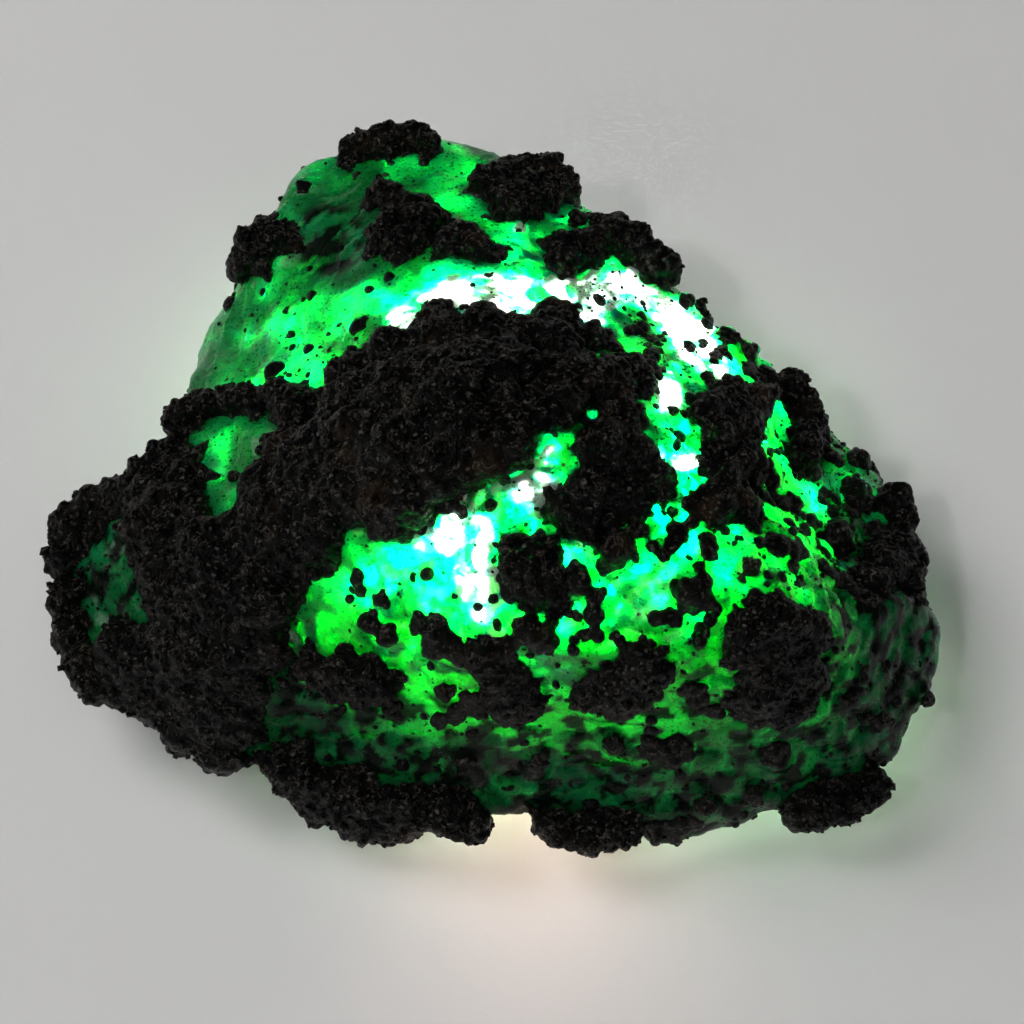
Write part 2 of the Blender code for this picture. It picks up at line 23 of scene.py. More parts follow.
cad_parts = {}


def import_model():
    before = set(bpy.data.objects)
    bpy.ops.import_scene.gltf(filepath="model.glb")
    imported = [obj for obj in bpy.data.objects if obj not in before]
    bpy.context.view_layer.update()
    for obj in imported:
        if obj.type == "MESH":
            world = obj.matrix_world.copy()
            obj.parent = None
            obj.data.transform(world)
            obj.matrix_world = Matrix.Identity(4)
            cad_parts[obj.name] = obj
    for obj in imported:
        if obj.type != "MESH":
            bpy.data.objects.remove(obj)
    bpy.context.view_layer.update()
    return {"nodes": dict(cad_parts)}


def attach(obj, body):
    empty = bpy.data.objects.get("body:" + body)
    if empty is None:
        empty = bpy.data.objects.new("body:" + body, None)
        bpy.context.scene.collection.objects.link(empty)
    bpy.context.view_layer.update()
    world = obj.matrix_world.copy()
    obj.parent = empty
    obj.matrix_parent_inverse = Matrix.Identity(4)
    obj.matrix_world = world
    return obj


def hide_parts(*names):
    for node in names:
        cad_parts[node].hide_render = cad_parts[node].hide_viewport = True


LOG = logging.getLogger("rough_emerald")
MM = 0.001
SEED = 11
BODY = "root"
LARGEST_PATCH = "crust_main"
# Coarse enough to keep the largest patch under 200,000 triangles.
LARGEST_MESH_SIZE = 0.142

# A place in survey points, across and down, and how far it reaches round.
Circle = tuple[float, float, float]
Triple = tuple[float, float, float]


@dataclass(frozen=True)
class Survey:
    """The photograph's square of points and the eye that looks through it, in millimetres."""

    side: int = 1024
    point: float = 0.05
    distance: float = 140.0
    elevation: float = math.radians(60)
    target: Vector = Vector((1.03, -4.105, 8.0))
    sensor: float = 36.0

    @property
    def toward(self) -> Vector:
        """The direction from the stone to the eye."""
        return Vector((0, -math.cos(self.elevation), math.sin(self.elevation)))

    @property
    def upward(self) -> Vector:
        """The direction that is up in the square."""
        return Vector((0, math.sin(self.elevation), math.cos(self.elevation)))

    @property
    def eye(self) -> Vector:
        """Where the eye is."""
        return self.target + self.toward * self.distance

    @property
    def lens(self) -> float:
        """The focal length that makes a survey point its width at the target."""
        return self.sensor * self.distance / (self.side * self.point)

    def sight(self, x: float, y: float) -> Vector:
        """The direction from the eye through a survey point.

        Args:
            x: How far across the point is.
            y: How far down it is.

        Returns:
            The direction, of length 1.
        """
        across = Vector(((x - self.side / 2) * self.point, 0, 0))
        up = self.upward * ((self.side / 2 - y) * self.point)
        return (across + up - self.toward * self.distance).normalized()

    def seen(self, places: np.ndarray) -> np.ndarray:
        """The survey points where places appear.

        Args:
            places: Rows of x, y and z in millimetres.

        Returns:
            Rows of survey points across and down.
        """
        offsets = places - np.array(self.eye)
        scale = self.distance / (-(offsets @ np.array(self.toward)) * self.point)
        across = offsets[:, 0] * scale
        up = (offsets @ np.array(self.upward)) * scale
        return np.stack((self.side / 2 + across, self.side / 2 - up), 1)


SURVEY = Survey()


def linear(code: str) -> tuple[float, float, float, float]:
    """Turns an sRGB colour to linear.

    Args:
        code: The colour as #rrggbb.

    Returns:
        Linear red, green and blue, and a full alpha.
    """
    parts = [int(code[i : i + 2], 16) / 255 for i in (1, 3, 5)]
    red, green, blue = (c / 12.92 if c <= 0.04045 else ((c + 0.055) / 1.055) ** 2.4 for c in parts)
    return red, green, blue, 1.0


def add_node(
    tree: bpy.types.NodeTree,
    kind: str,
    settings: dict[str, object] | None = None,
    values: dict[str | int, object] | None = None,
    links: dict[str | int, bpy.types.NodeSocket] | None = None,
) -> bpy.types.Node:
    """Adds a node with its settings, values and links.

    Args:
        tree: The tree that takes it.
        kind: Its type.
        settings: Its properties.
        values: What its inputs hold.
        links: The outputs that feed its inputs.

    Returns:
        The node.
    """
    made = tree.nodes.new(kind)
    for name, setting in (settings or {}).items():
        setattr(made, name, setting)
    for name, value in (values or {}).items():
        made.inputs[name].default_value = value
    for name, source in (links or {}).items():
        tree.links.new(source, made.inputs[name])
    return made


def set_ramp(made: bpy.types.Node, stops: Iterable[tuple[float, str]]) -> bpy.types.NodeSocket:
    """Gives a colour ramp its stops.

    Args:
        made: The ramp's node.
        stops: Each place and its sRGB colour.

    Returns:
        The ramp's colour output.
    """
    ramp = made.color_ramp
    while len(ramp.elements) > 1:
        ramp.elements.remove(ramp.elements[-1])
    for i, (place, code) in enumerate(stops):
        stop = ramp.elements[0] if i == 0 else ramp.elements.new(place)
        stop.position, stop.color = place, linear(code)
    return made.outputs["Color"]


def noise_field(places: np.ndarray, period: float, shift: float = 0.0) -> np.ndarray:
    """Smooth noise from -1 to 1 at each place, with a period in millimetres and its own shift."""
    offset = Vector((shift, shift * 0.7, -shift))
    return np.array([noise.noise(Vector(place) / period + offset) for place in places])


def cell_fields(places: np.ndarray, size: float) -> tuple[np.ndarray, np.ndarray]:
    """Cells of about this size in millimetres.

    Args:
        places: Rows of x, y and z.
        size: A cell's width.

    Returns:
        The distance from the cell's middle and from its border, both in cell widths.
    """
    found = np.array([noise.voronoi(Vector(place) / size)[0][:2] for place in places])
    return found[:, 0], found[:, 1] - found[:, 0]


def share_of(seen: np.ndarray, circles: Iterable[Circle]) -> np.ndarray:
    """How far each survey point belongs to soft circles.

    Args:
        seen: Rows of survey points.
        circles: The circles.

    Returns:
        A share from 0 to 1 for each point.
    """
    left = np.ones(len(seen))
    for x, y, reach in circles:
        away = ((seen - (x, y)) ** 2).sum(1) / reach**2
        left *= 1 - np.exp(-away)
    return 1 - left


def smooth_step(values: np.ndarray, low: float, high: float) -> np.ndarray:
    """0 below low, 1 above high, and a soft rise between."""
    share = np.clip((values - low) / (high - low), 0, 1)
    return share * share * (3 - 2 * share)


class Form(Enum):
    """How fine a grain's ball is, as subdivisions."""

    SPECK = 1
    GRAIN = 2


class Shape:
    """An object under way, in millimetres."""

    def __init__(self, mesh: bmesh.types.BMesh, name: str) -> None:
        """Takes over a bmesh and makes an object of it.

        Args:
            mesh: The mesh, which is freed.
            name: The piece's name.
        """
        data = bpy.data.meshes.new(name)
        mesh.to_mesh(data)
        mesh.free()
        self.made = bpy.data.objects.new(name, data)
        bpy.context.scene.collection.objects.link(self.made)

    @property
    def places(self) -> np.ndarray:
        """The vertices, as rows of x, y and z."""
        flat = np.empty(len(self.made.data.vertices) * 3, np.float32)
        self.made.data.vertices.foreach_get("co", flat)
        return flat.reshape(-1, 3).astype(float)

    @places.setter
    def places(self, rows: np.ndarray) -> None:
        self.made.data.vertices.foreach_set("co", rows.astype(np.float32).ravel())
        self.made.data.update()

    @property
    def normals(self) -> np.ndarray:
        """The vertices' normals, as rows of x, y and z."""
        flat = np.empty(len(self.made.data.vertices) * 3, np.float32)
        self.made.data.vertices.foreach_get("normal", flat)
        return flat.reshape(-1, 3).astype(float)

    @property
    def skin(self) -> BVHTree:
        """A tree of the faces, to cast rays at."""
        mesh = bmesh.new()
        mesh.from_mesh(self.made.data)
        tree = BVHTree.FromBMesh(mesh)
        mesh.free()
        return tree

    def reshape(self, modifier: str, **settings: object) -> None:
        """Applies one modifier to the mesh.

        Args:
            modifier: Its type.
            **settings: Its properties.
        """
        live = self.made.modifiers.new(modifier, modifier)
        for name, setting in settings.items():
            setattr(live, name, setting)
        graph = bpy.context.evaluated_depsgraph_get()
        data = bpy.data.meshes.new_from_object(self.made.evaluated_get(graph))
        old = self.made.data
        self.made.modifiers.clear()
        self.made.data = data
        bpy.data.meshes.remove(old)

    def keep_above_table(self) -> None:
        """Flattens whatever would sink into the table."""
        rows = self.places
        rows[:, 2] = np.maximum(rows[:, 2], 0)
        self.places = rows

    def paint(self, name: str, values: np.ndarray) -> None:
        """Keeps a value at each vertex for the material.

        Args:
            name: The attribute's name.
            values: One number for each vertex.
        """
        layer = self.made.data.attributes.new(name, "FLOAT", "POINT")
        layer.data.foreach_set("value", values.astype(np.float32))

    def finish(
        self,
        material: bpy.types.Material,
        slot: str,
        nodes: Iterable[str] = (),
        smooth: bool = True,
    ) -> None:
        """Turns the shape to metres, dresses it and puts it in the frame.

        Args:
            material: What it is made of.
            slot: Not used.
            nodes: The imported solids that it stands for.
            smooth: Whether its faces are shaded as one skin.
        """
        data = self.made.data
        data.transform(Matrix.Scale(MM, 4))
        data.materials.clear()
        data.materials.append(material)
        if smooth:
            data.shade_smooth()
        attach(self.made, BODY)
        if nodes:
            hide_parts(*nodes)
        faces = sum(len(face.vertices) - 2 for face in data.polygons)
        LOG.info("%s: %d triangles", self.made.name, faces)


def solid_copy(node: bpy.types.Object) -> bmesh.types.BMesh:
    """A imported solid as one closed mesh.

    Args:
        node: The solid's object.

    Returns:
        A copy in millimetres, with its doubles merged.
    """
    mesh = bmesh.new()
    mesh.from_mesh(node.data)
    bmesh.ops.scale(mesh, vec=(1 / MM,) * 3, verts=mesh.verts)
    bmesh.ops.remove_doubles(mesh, verts=mesh.verts, dist=0.001)
    mesh.normal_update()
    return mesh


@dataclass
class GrainBed:
    """Grains about to be made: where each sits, which way is out, and how large it is."""

    places: np.ndarray
    normals: np.ndarray
    radii: np.ndarray

    def balls(
        self, form: Form, sunk: float, rng: np.random.Generator, lumpiness: float = 0.14
    ) -> bmesh.types.BMesh:
        """Makes irregular rounded grains, joined in one mesh from one ball.

        Args:
            form: How fine the ball is.
            sunk: How far a grain's middle is under the skin, in radii.
            rng: The source of their shapes.
            lumpiness: How far a grain departs from a smooth one.

        Returns:
            The mesh.
        """
        ball = bmesh.new()
        bmesh.ops.create_icosphere(ball, subdivisions=form.value, radius=1)
        spots = np.array([vert.co for vert in ball.verts])
        faces = np.array([[vert.index for vert in face.verts] for face in ball.faces])
        ball.free()
        count = len(self.radii)
        turns, _ = np.linalg.qr(rng.normal(size=(count, 3, 3)))
        turns *= np.sign(np.linalg.det(turns))[:, None, None]
        stretch = rng.uniform(0.72, 1.28, (count, 1, 3))
        waves = rng.normal(size=(count, 3, 3)) * 1.7
        phases = rng.uniform(0, math.tau, (count, 1, 3))
        swell = 1 + lumpiness * np.sin(spots @ waves + phases).sum(2, keepdims=True)
        arms = (spots * stretch * swell) @ turns
        middles = self.places - self.normals * (self.radii * sunk)[:, None]
        verts = middles[:, None] + arms * self.radii[:, None, None]
        steps = np.arange(count)[:, None, None] * len(spots)
        data = bpy.data.meshes.new("grains")
        data.from_pydata(verts.reshape(-1, 3), [], (faces + steps).reshape(-1, 3))
        mesh = bmesh.new()
        mesh.from_mesh(data)
        bpy.data.meshes.remove(data)
        return mesh

    def add_to(
        self, mesh: bmesh.types.BMesh, form: Form, sunk: float, rng: np.random.Generator
    ) -> None:
        """Adds the grains to another mesh.

        Args:
            mesh: The mesh that takes them.
            form: How fine each ball is.
            sunk: How far a grain's middle is under the skin, in radii.
            rng: The source of their shapes.
        """
        balls = self.balls(form, sunk, rng)
        data = bpy.data.meshes.new("grains")
        balls.to_mesh(data)
        balls.free()
        mesh.from_mesh(data)
        bpy.data.meshes.remove(data)


def hex_mix(
    tree: bpy.types.NodeTree, share: object, below: object, above: object
) -> bpy.types.NodeSocket:
    """Mixes two colours.

    Args:
        tree: The tree that takes the node.
        share: An output, or a number.
        below: An output, an sRGB colour or four values, for a share of 0.
        above: An output, an sRGB colour or four values, for a share of 1.

    Returns:
        The mixed colour's output.
    """
    values, links = {}, {}
    # The factor and the two colours of a colour mix, whose colour output is the third.
    for socket, given in ((0, share), (6, below), (7, above)):
        if isinstance(given, bpy.types.NodeSocket):
            links[socket] = given
        else:
            values[socket] = linear(given) if isinstance(given, str) else given
    made = add_node(tree, "ShaderNodeMix", {"data_type": "RGBA"}, values, links)
    return made.outputs[2]


@dataclass(frozen=True)
class CloudyBeryl:
    """Emerald as it breaks from the rock: green beryl, full of clouds and healed cracks.

    Light goes far into it and comes out green, so it is a scattering body with a waxy to glassy
    skin, half see-through. Where the lamp's light glows through it is painted paler, partly
    cloudy white stone and partly painted glow: round these zones it is bluer, and in them it lets
    every colour through. Broken ridges are frosted. It is darker near the crust, and painted
    shade darkens the front wall, the sides turned from the camera and the lowest parts, with dark
    blotches on the front wall.

    Light goes light_path millimetres into it, times each path's share for red, green and blue.
    """

    refraction: float = 1.58
    gloss: float = 0.12
    light_path: float = 8.0
    green_path: Triple = (0.1, 2.1, 2.3)
    # Longer paths in the painted glow, partly cloudy white stone, where the lamp's light comes
    # through.
    mint_glow_path: Triple = (0.12, 2.1, 1.8)
    milk_glow_path: Triple = (0.74, 0.77, 0.76)
    # Shorter paths where shade is painted.
    painted_shade_path: Triple = (0.03, 0.2, 0.06)
    # Painted shade: light paths shorten toward the bottom.
    low_height: float = 4.0
    full_height: float = 20.0
    low_clearness: float = 0.33
    full_clearness: float = 1.6
    see_through: float = 0.6
    dark_and_shade_see_through: float = 0.05
    cloud_size: float = 3.2
    vein_size: float = 1.1
    etch_size: float = 0.22
    etch_depth: float = 0.04
    body_tints: tuple[str, str, str] = ("#04742c", "#089848", "#10c070")
    vein_tint: str = "#18d080"
    # Painted glow, partly cloudy white stone, where the lamp's light comes through.
    mint_glow_tint: str = "#10d2b0"
    milk_glow_tint: str = "#fcfefd"
    # Painted shade.
    painted_shade_tint: str = "#03200e"
    frost_tint: str = "#1c964c"
    # Darker near the crust, and painted shade blotches on the front wall.
    stain_tint: str = "#040c06"
    absorbed_tint: str = "#66f09c"
    absorption: float = 350.0

    def make(self) -> bpy.types.Material:
        """The material."""
        material = bpy.data.materials.new("cloudy_beryl")
        material.use_nodes = True
        tree = material.node_tree
        shader = tree.nodes["Principled BSDF"]
        where = add_node(tree, "ShaderNodeTexCoord").outputs["Object"]
        frost, stain, pale, painted_shade = (
            add_node(tree, "ShaderNodeAttribute", {"attribute_name": name}).outputs["Fac"]
            for name in ("frost", "stain", "pale", "painted_shade")
        )
        cloud, vein, etch = (
            add_node(
                tree, "ShaderNodeTexNoise",
                values={"Scale": 1 / (size * MM), "Detail": detail, "Distortion": distortion},
                links={"Vector": where},
            ).outputs["Fac"]
            for size, detail, distortion in (
                (self.cloud_size, 3.0, 0.3),
                (self.vein_size, 5.0, 0.8),
                (self.etch_size, 3.0, 0.0),
            )
        )
        body = set_ramp(
            add_node(tree, "ShaderNodeValToRGB", links={"Fac": cloud}),
            zip((0.35, 0.5, 0.65), self.body_tints),
        )
        veins = set_ramp(
            add_node(tree, "ShaderNodeValToRGB", links={"Fac": vein}),
            ((0.47, "#000000"), (0.505, "#909090"), (0.54, "#000000")),
        )
        streaks = add_node(
            tree, "ShaderNodeMapRange",
            values={"From Min": 0.38, "From Max": 0.58, "To Min": 0.5, "To Max": 1.2},
            links={"Value": vein},
        ).outputs["Result"]
        curdled = add_node(
            tree, "ShaderNodeMath", {"operation": "MULTIPLY"}, links={0: pale, 1: streaks}
        ).outputs["Value"]
        mint_glow, milk_glow = (
            add_node(
                tree, "ShaderNodeMapRange", {"interpolation_type": "SMOOTHSTEP"},
                {"From Min": low, "From Max": high}, {"Value": curdled},
            ).outputs["Result"]
            for low, high in ((0.05, 0.4), (0.45, 0.85))
        )
        colour = body
        # Paler where glow is painted, darker where shade is painted and near the crust.
        for share, tint in (
            (veins, self.vein_tint), (mint_glow, self.mint_glow_tint), (milk_glow, self.milk_glow_tint),
            (painted_shade, self.painted_shade_tint), (frost, self.frost_tint), (stain, self.stain_tint),
        ):
            colour = hex_mix(tree, share, colour, tint)
        tree.links.new(colour, shader.inputs["Base Color"])
        path = (*self.green_path, 1.0)
        # Light paths are longer where glow is painted and shorter where shade is painted.
        for share, reach in (
            (mint_glow, self.mint_glow_path), (milk_glow, self.milk_glow_path), (painted_shade, self.painted_shade_path),
        ):
            path = hex_mix(tree, share, path, (*reach, 1.0))
        path = add_node(
            tree, "ShaderNodeVectorMath", {"operation": "SCALE"},
            links={0: path, "Scale": self.clearness(tree, where, cloud, vein)},
        ).outputs["Vector"]
        tree.links.new(path, shader.inputs["Subsurface Radius"])
        # Less see-through near the crust and where shade is painted.
        dark_and_shade = add_node(
            tree, "ShaderNodeMath", {"operation": "MAXIMUM"}, links={0: painted_shade, 1: stain}
        ).outputs["Value"]
        clear = add_node(
            tree, "ShaderNodeMapRange",
            values={"To Min": self.see_through, "To Max": self.dark_and_shade_see_through},
            links={"Value": dark_and_shade},
        ).outputs["Result"]
        tree.links.new(clear, shader.inputs["Transmission Weight"])
        rough = add_node(
            tree, "ShaderNodeMapRange",
            values={"From Min": 0.3, "From Max": 0.7, "To Min": 0.2, "To Max": 0.45},
            links={"Value": etch},
        ).outputs["Result"]
        tree.links.new(rough, shader.inputs["Roughness"])
        bump = add_node(
            tree, "ShaderNodeBump",
            values={"Strength": 0.4, "Distance": self.etch_depth * MM}, links={"Height": etch},
        )
        tree.links.new(bump.outputs["Normal"], shader.inputs["Normal"])
        shader.inputs["IOR"].default_value = self.refraction
        shader.inputs["Specular IOR Level"].default_value = self.gloss
        cloudy = add_node(
            tree, "ShaderNodeMapRange",
            values={"From Min": 0.3, "From Max": 0.8, "To Min": 1.0, "To Max": 0.0},
            links={"Value": stain},
        ).outputs["Result"]
        tree.links.new(cloudy, shader.inputs["Subsurface Weight"])
        shader.inputs["Subsurface Scale"].default_value = self.light_path * MM
        inside = add_node(
            tree, "ShaderNodeVolumeAbsorption",
            values={"Color": linear(self.absorbed_tint), "Density": self.absorption},
        )
        tree.links.new(inside.outputs["Volume"], tree.nodes["Material Output"].inputs["Volume"])
        return material

    def clearness(
        self,
        tree: bpy.types.NodeTree,
        where: bpy.types.NodeSocket,
        cloud: bpy.types.NodeSocket,
        vein: bpy.types.NodeSocket,
    ) -> bpy.types.NodeSocket:
        """How far light gets, which rises with height and varies with the clouds and veins.

        Args:
            tree: The material's tree.
            where: The Object coordinates.
            cloud: The noise of the clouds.
            vein: The noise of the veins.

        Returns:
            The share of the light's path.
        """
        # Painted shade: light paths shorten low down, so the lower parts look darker.
        height = add_node(tree, "ShaderNodeSeparateXYZ", links={"Vector": where}).outputs["Z"]
        total = add_node(
            tree, "ShaderNodeMapRange",
            values={
                "From Min": self.low_height * MM, "From Max": self.full_height * MM,
                "To Min": self.low_clearness, "To Max": self.full_clearness,
            },
            links={"Value": height},
        ).outputs["Result"]
        for pattern, least, most in ((cloud, 0.8, 1.15), (vein, 0.86, 1.1)):
            share = add_node(
                tree, "ShaderNodeMapRange",
                values={"From Min": 0.36, "From Max": 0.62, "To Min": least, "To Max": most},
                links={"Value": pattern},
            ).outputs["Result"]
            total = add_node(
                tree, "ShaderNodeMath", {"operation": "MULTIPLY"}, links={0: total, 1: share}
            ).outputs["Value"]
        return total


@dataclass(frozen=True)
class MicaSchist:
    """Biotite mica schist as it weathers: near-black rounded grains with brown rust between them.

    Its skin is half glossy. Grey flecks on a few flakes and thin pale streaks are painted glints
    of its mica.
    """

    refraction: float = 1.58
    gloss: float = 0.25
    flake_size: float = 0.16
    rust_size: float = 2.4
    tooth_size: float = 0.12
    tooth_depth: float = 0.08
    glint_streak_size: float = 0.55
    body_tints: tuple[str, ...] = ("#040404", "#060605", "#0d0a07", "#21170b")
    # Grey flecks and pale streaks of painted glint.
    painted_glint_tint: str = "#86827b"
    painted_streak_tint: str = "#6e675e"

    def make(self) -> bpy.types.Material:
        """The material."""
        material = bpy.data.materials.new("mica_schist")
        material.use_nodes = True
        tree = material.node_tree
        shader = tree.nodes["Principled BSDF"]
        where = add_node(tree, "ShaderNodeTexCoord").outputs["Object"]
        rust, tooth, glint_streak_noise = (
            add_node(
                tree, "ShaderNodeTexNoise",
                values={"Scale": 1 / (size * MM), "Detail": detail, "Distortion": distortion},
                links={"Vector": where},
            ).outputs["Fac"]
            for size, detail, distortion in (
                (self.rust_size, 4.0, 0.0),
                (self.tooth_size, 3.0, 0.0),
                (self.glint_streak_size, 4.0, 1.4),
            )
        )
        flakes = add_node(
            tree, "ShaderNodeTexVoronoi", values={"Scale": 1 / (self.flake_size * MM)},
            links={"Vector": where},
        )
        chosen = add_node(
            tree, "ShaderNodeSeparateColor", links={"Color": flakes.outputs["Color"]}
        )
        body = set_ramp(
            add_node(tree, "ShaderNodeValToRGB", links={"Fac": rust}),
            zip((0.36, 0.54, 0.64, 0.72), self.body_tints),
        )
        # Painted glints: grey flecks on a few flakes.
        grey = set_ramp(
            add_node(tree, "ShaderNodeValToRGB", links={"Fac": chosen.outputs["Red"]}),
            ((0.94, "#000000"), (0.97, "#383838"), (0.99, "#808080")),
        )
        # Painted glints: thin pale streaks along the mica's edges.
        cracks = set_ramp(
            add_node(tree, "ShaderNodeValToRGB", links={"Fac": glint_streak_noise}),
            ((0.57, "#000000"), (0.588, "#c8c8c8"), (0.606, "#000000")),
        )
        colour = hex_mix(tree, grey, body, self.painted_glint_tint)
        colour = hex_mix(tree, cracks, colour, self.painted_streak_tint)
        tree.links.new(colour, shader.inputs["Base Color"])
        rough = add_node(
            tree, "ShaderNodeMapRange",
            values={"From Min": 0.0, "From Max": 1.0, "To Min": 0.3, "To Max": 0.7},
            links={"Value": chosen.outputs["Green"]},
        ).outputs["Result"]
        tree.links.new(rough, shader.inputs["Roughness"])
        height = add_node(
            tree, "ShaderNodeMath", {"operation": "ADD"},
            links={0: tooth, 1: chosen.outputs["Blue"]},
        ).outputs["Value"]
        bump = add_node(
            tree, "ShaderNodeBump",
            values={"Strength": 0.8, "Distance": self.tooth_depth * MM}, links={"Height": height},
        )
        tree.links.new(bump.outputs["Normal"], shader.inputs["Normal"])
        shader.inputs["IOR"].default_value = self.refraction
        shader.inputs["Specular IOR Level"].default_value = self.gloss
        return material


@dataclass(frozen=True)
class DrawingPaper:
    """Plain pale paper under the stone, with a faint tooth."""

    colour: str = "#d9d9d8"
    roughness: float = 0.85
    tooth_size: float = 0.5
    tooth_depth: float = 0.05

    def make(self) -> bpy.types.Material:
        """The material."""
        material = bpy.data.materials.new("drawing_paper")
        material.use_nodes = True
        tree = material.node_tree
        shader = tree.nodes["Principled BSDF"]
        where = add_node(tree, "ShaderNodeTexCoord").outputs["Object"]
        tooth = add_node(
            tree, "ShaderNodeTexNoise",
            values={"Scale": 1 / (self.tooth_size * MM), "Detail": 4.0}, links={"Vector": where},
        ).outputs["Fac"]
        bump = add_node(
            tree, "ShaderNodeBump",
            values={"Strength": 0.15, "Distance": self.tooth_depth * MM}, links={"Height": tooth},
        )
        tree.links.new(bump.outputs["Normal"], shader.inputs["Normal"])
        shader.inputs["Base Color"].default_value = linear(self.colour)
        shader.inputs["Roughness"].default_value = self.roughness
        return material


@dataclass
class GreenStone:
    """The emerald itself, with the relief of its broken and etched skin."""

    node: str = "emerald"
    mesh_size: float = 0.25
    rounding: int = 10
    ledge_middle: tuple[float, float] = (560, 470)
    ledge_width: float = 1.5
    ripple_width: float = 0.42
    cell_size: float = 1.5
    hillock_size: float = 0.8
    stain_reach: float = 0.6
    # Painted shade: darker below these heights.
    painted_shade_heights: tuple[float, float] = (3.0, 6.5)
    plates: tuple[Circle, ...] = (
        (360, 190, 70), (440, 180, 50), (310, 310, 80), (240, 350, 60), (380, 290, 50),
        (240, 440, 50),
    )
    cells: tuple[Circle, ...] = (
        (600, 780, 80), (480, 790, 60), (700, 780, 80), (380, 730, 60), (880, 680, 70),
        (820, 740, 70), (300, 720, 50), (890, 600, 50), (100, 580, 50),
    )
    hillocks: tuple[Circle, ...] = (
        (780, 470, 100), (700, 560, 90), (820, 560, 80), (640, 620, 80), (700, 380, 70),
        (560, 600, 60), (440, 640, 70), (760, 650, 80),
    )
    # Painted glow, partly cloudy white stone: paler where the lamp's light comes through.
    pale: tuple[Circle, ...] = (
        (400, 320, 15), (425, 305, 17), (455, 295, 20), (485, 296, 24), (515, 302, 24),
        (545, 300, 22), (572, 296, 22), (598, 300, 20), (575, 318, 16), (612, 285, 20),
        (635, 282, 18), (652, 295, 16), (590, 330, 14), (668, 318, 15), (690, 320, 17),
        (700, 332, 15), (685, 348, 14), (705, 362, 16), (720, 378, 16), (665, 385, 16),
        (668, 405, 14), (655, 455, 9), (688, 460, 12), (675, 465, 9), (540, 472, 16),
        (548, 490, 15), (520, 490, 14), (500, 490, 11), (538, 508, 12), (552, 452, 9),
        (455, 520, 14), (480, 530, 16), (425, 540, 14), (475, 550, 14), (445, 545, 12),
        (485, 578, 17), (465, 572, 12), (495, 592, 14), (470, 592, 13), (482, 612, 12),
        (498, 636, 11), (580, 543, 7), (575, 202, 8), (612, 222, 5), (762, 480, 6), (520, 232, 8),
    )
    # Painted glow, partly green stone: brighter green where the lamp's light comes through.
    mint_glow: tuple[Circle, ...] = (
        (400, 570, 34), (370, 585, 26), (430, 590, 28), (450, 620, 24), (540, 600, 22),
        (575, 600, 18), (640, 590, 34), (610, 600, 26), (660, 500, 18), (665, 525, 16),
        (680, 440, 26), (690, 490, 20), (620, 525, 16), (690, 550, 18), (520, 250, 22),
        (545, 262, 18), (615, 330, 14), (570, 545, 18), (575, 215, 24), (620, 255, 12),
        (560, 640, 18), (515, 650, 14), (760, 480, 16), (750, 440, 14), (775, 385, 14),
        (640, 390, 12), (600, 300, 30), (480, 300, 40), (690, 340, 34), (480, 560, 50),
        (530, 490, 34), (670, 400, 30), (390, 310, 18), (560, 680, 20),
    )
    # Painted shade: where these circles lie, the stone is darker.
    painted_shade: tuple[Circle, ...] = (
        (600, 780, 110), (450, 800, 100), (740, 770, 110), (880, 700, 90), (330, 720, 70),
        (900, 600, 60), (330, 240, 40), (100, 580, 60),
    )
    shape: Shape = field(init=False)
    near_crust: np.ndarray = field(init=False)

    def build(self, solid: bpy.types.Object, crust: BVHTree) -> None:
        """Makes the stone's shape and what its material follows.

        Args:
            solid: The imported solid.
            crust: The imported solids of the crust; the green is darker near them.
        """
        self.shape = Shape(solid_copy(solid), "emerald_stone")
        self.shape.reshape("REMESH", mode="VOXEL", voxel_size=self.mesh_size)
        self.shape.reshape("SMOOTH", factor=0.5, iterations=self.rounding)
        places = self.shape.places
        normals = self.shape.normals
        seen = SURVEY.seen(places)
        facing = smooth_step(normals @ np.array(SURVEY.toward), -0.1, 0.2)
        wild = noise_field(places, 7.0, 3.1)
        plates = facing * share_of(seen, self.plates) + (1 - facing) * smooth_step(wild, 0.1, 0.3)
        cells = facing * share_of(seen, self.cells) + (1 - facing) * smooth_step(-wild, 0.1, 0.3)
        hillocks = facing * share_of(seen, self.hillocks)
        relief, crests = self.relief(places, seen, plates, cells, hillocks)
        self.shape.places = places + normals * relief[:, None]
        self.shape.keep_above_table()
        self.near_crust = np.array([crust.find_nearest(Vector(place))[3] for place in places])
        self.shape.paint("frost", np.clip(crests, 0, 1))
        # Painted shade on the darker front wall.
        wall = facing * share_of(seen, self.painted_shade)
        # Painted shade in dark blotches across that wall.
        blotch = noise_field(places, 0.9, 12.0) + 0.5 * noise_field(places, 0.45, 13.0)
        shade_blotches = smooth_step(wall, 0.1, 0.6) * smooth_step(blotch, -0.12, 0.08)
        # Darker near the crust.
        crust_dark = np.exp(-((self.near_crust / self.stain_reach) ** 2)) * 0.85
        self.shape.paint("stain", np.maximum(crust_dark, shade_blotches))
        # Painted glow, partly cloudy white stone: paler where the lamp's light comes through.
        milk_glow_share = smooth_step(share_of(seen, self.pale), 0.1, 0.7)
        self.shape.paint("pale", facing * np.maximum(milk_glow_share, 0.4 * share_of(seen, self.mint_glow)))
        # Painted shade: darker low down and on the sides turned from the camera.
        low = 1 - smooth_step(places[:, 2], *self.painted_shade_heights)
        self.shape.paint("painted_shade", np.maximum(0.85 * wall + (1 - facing) * 0.5, low))

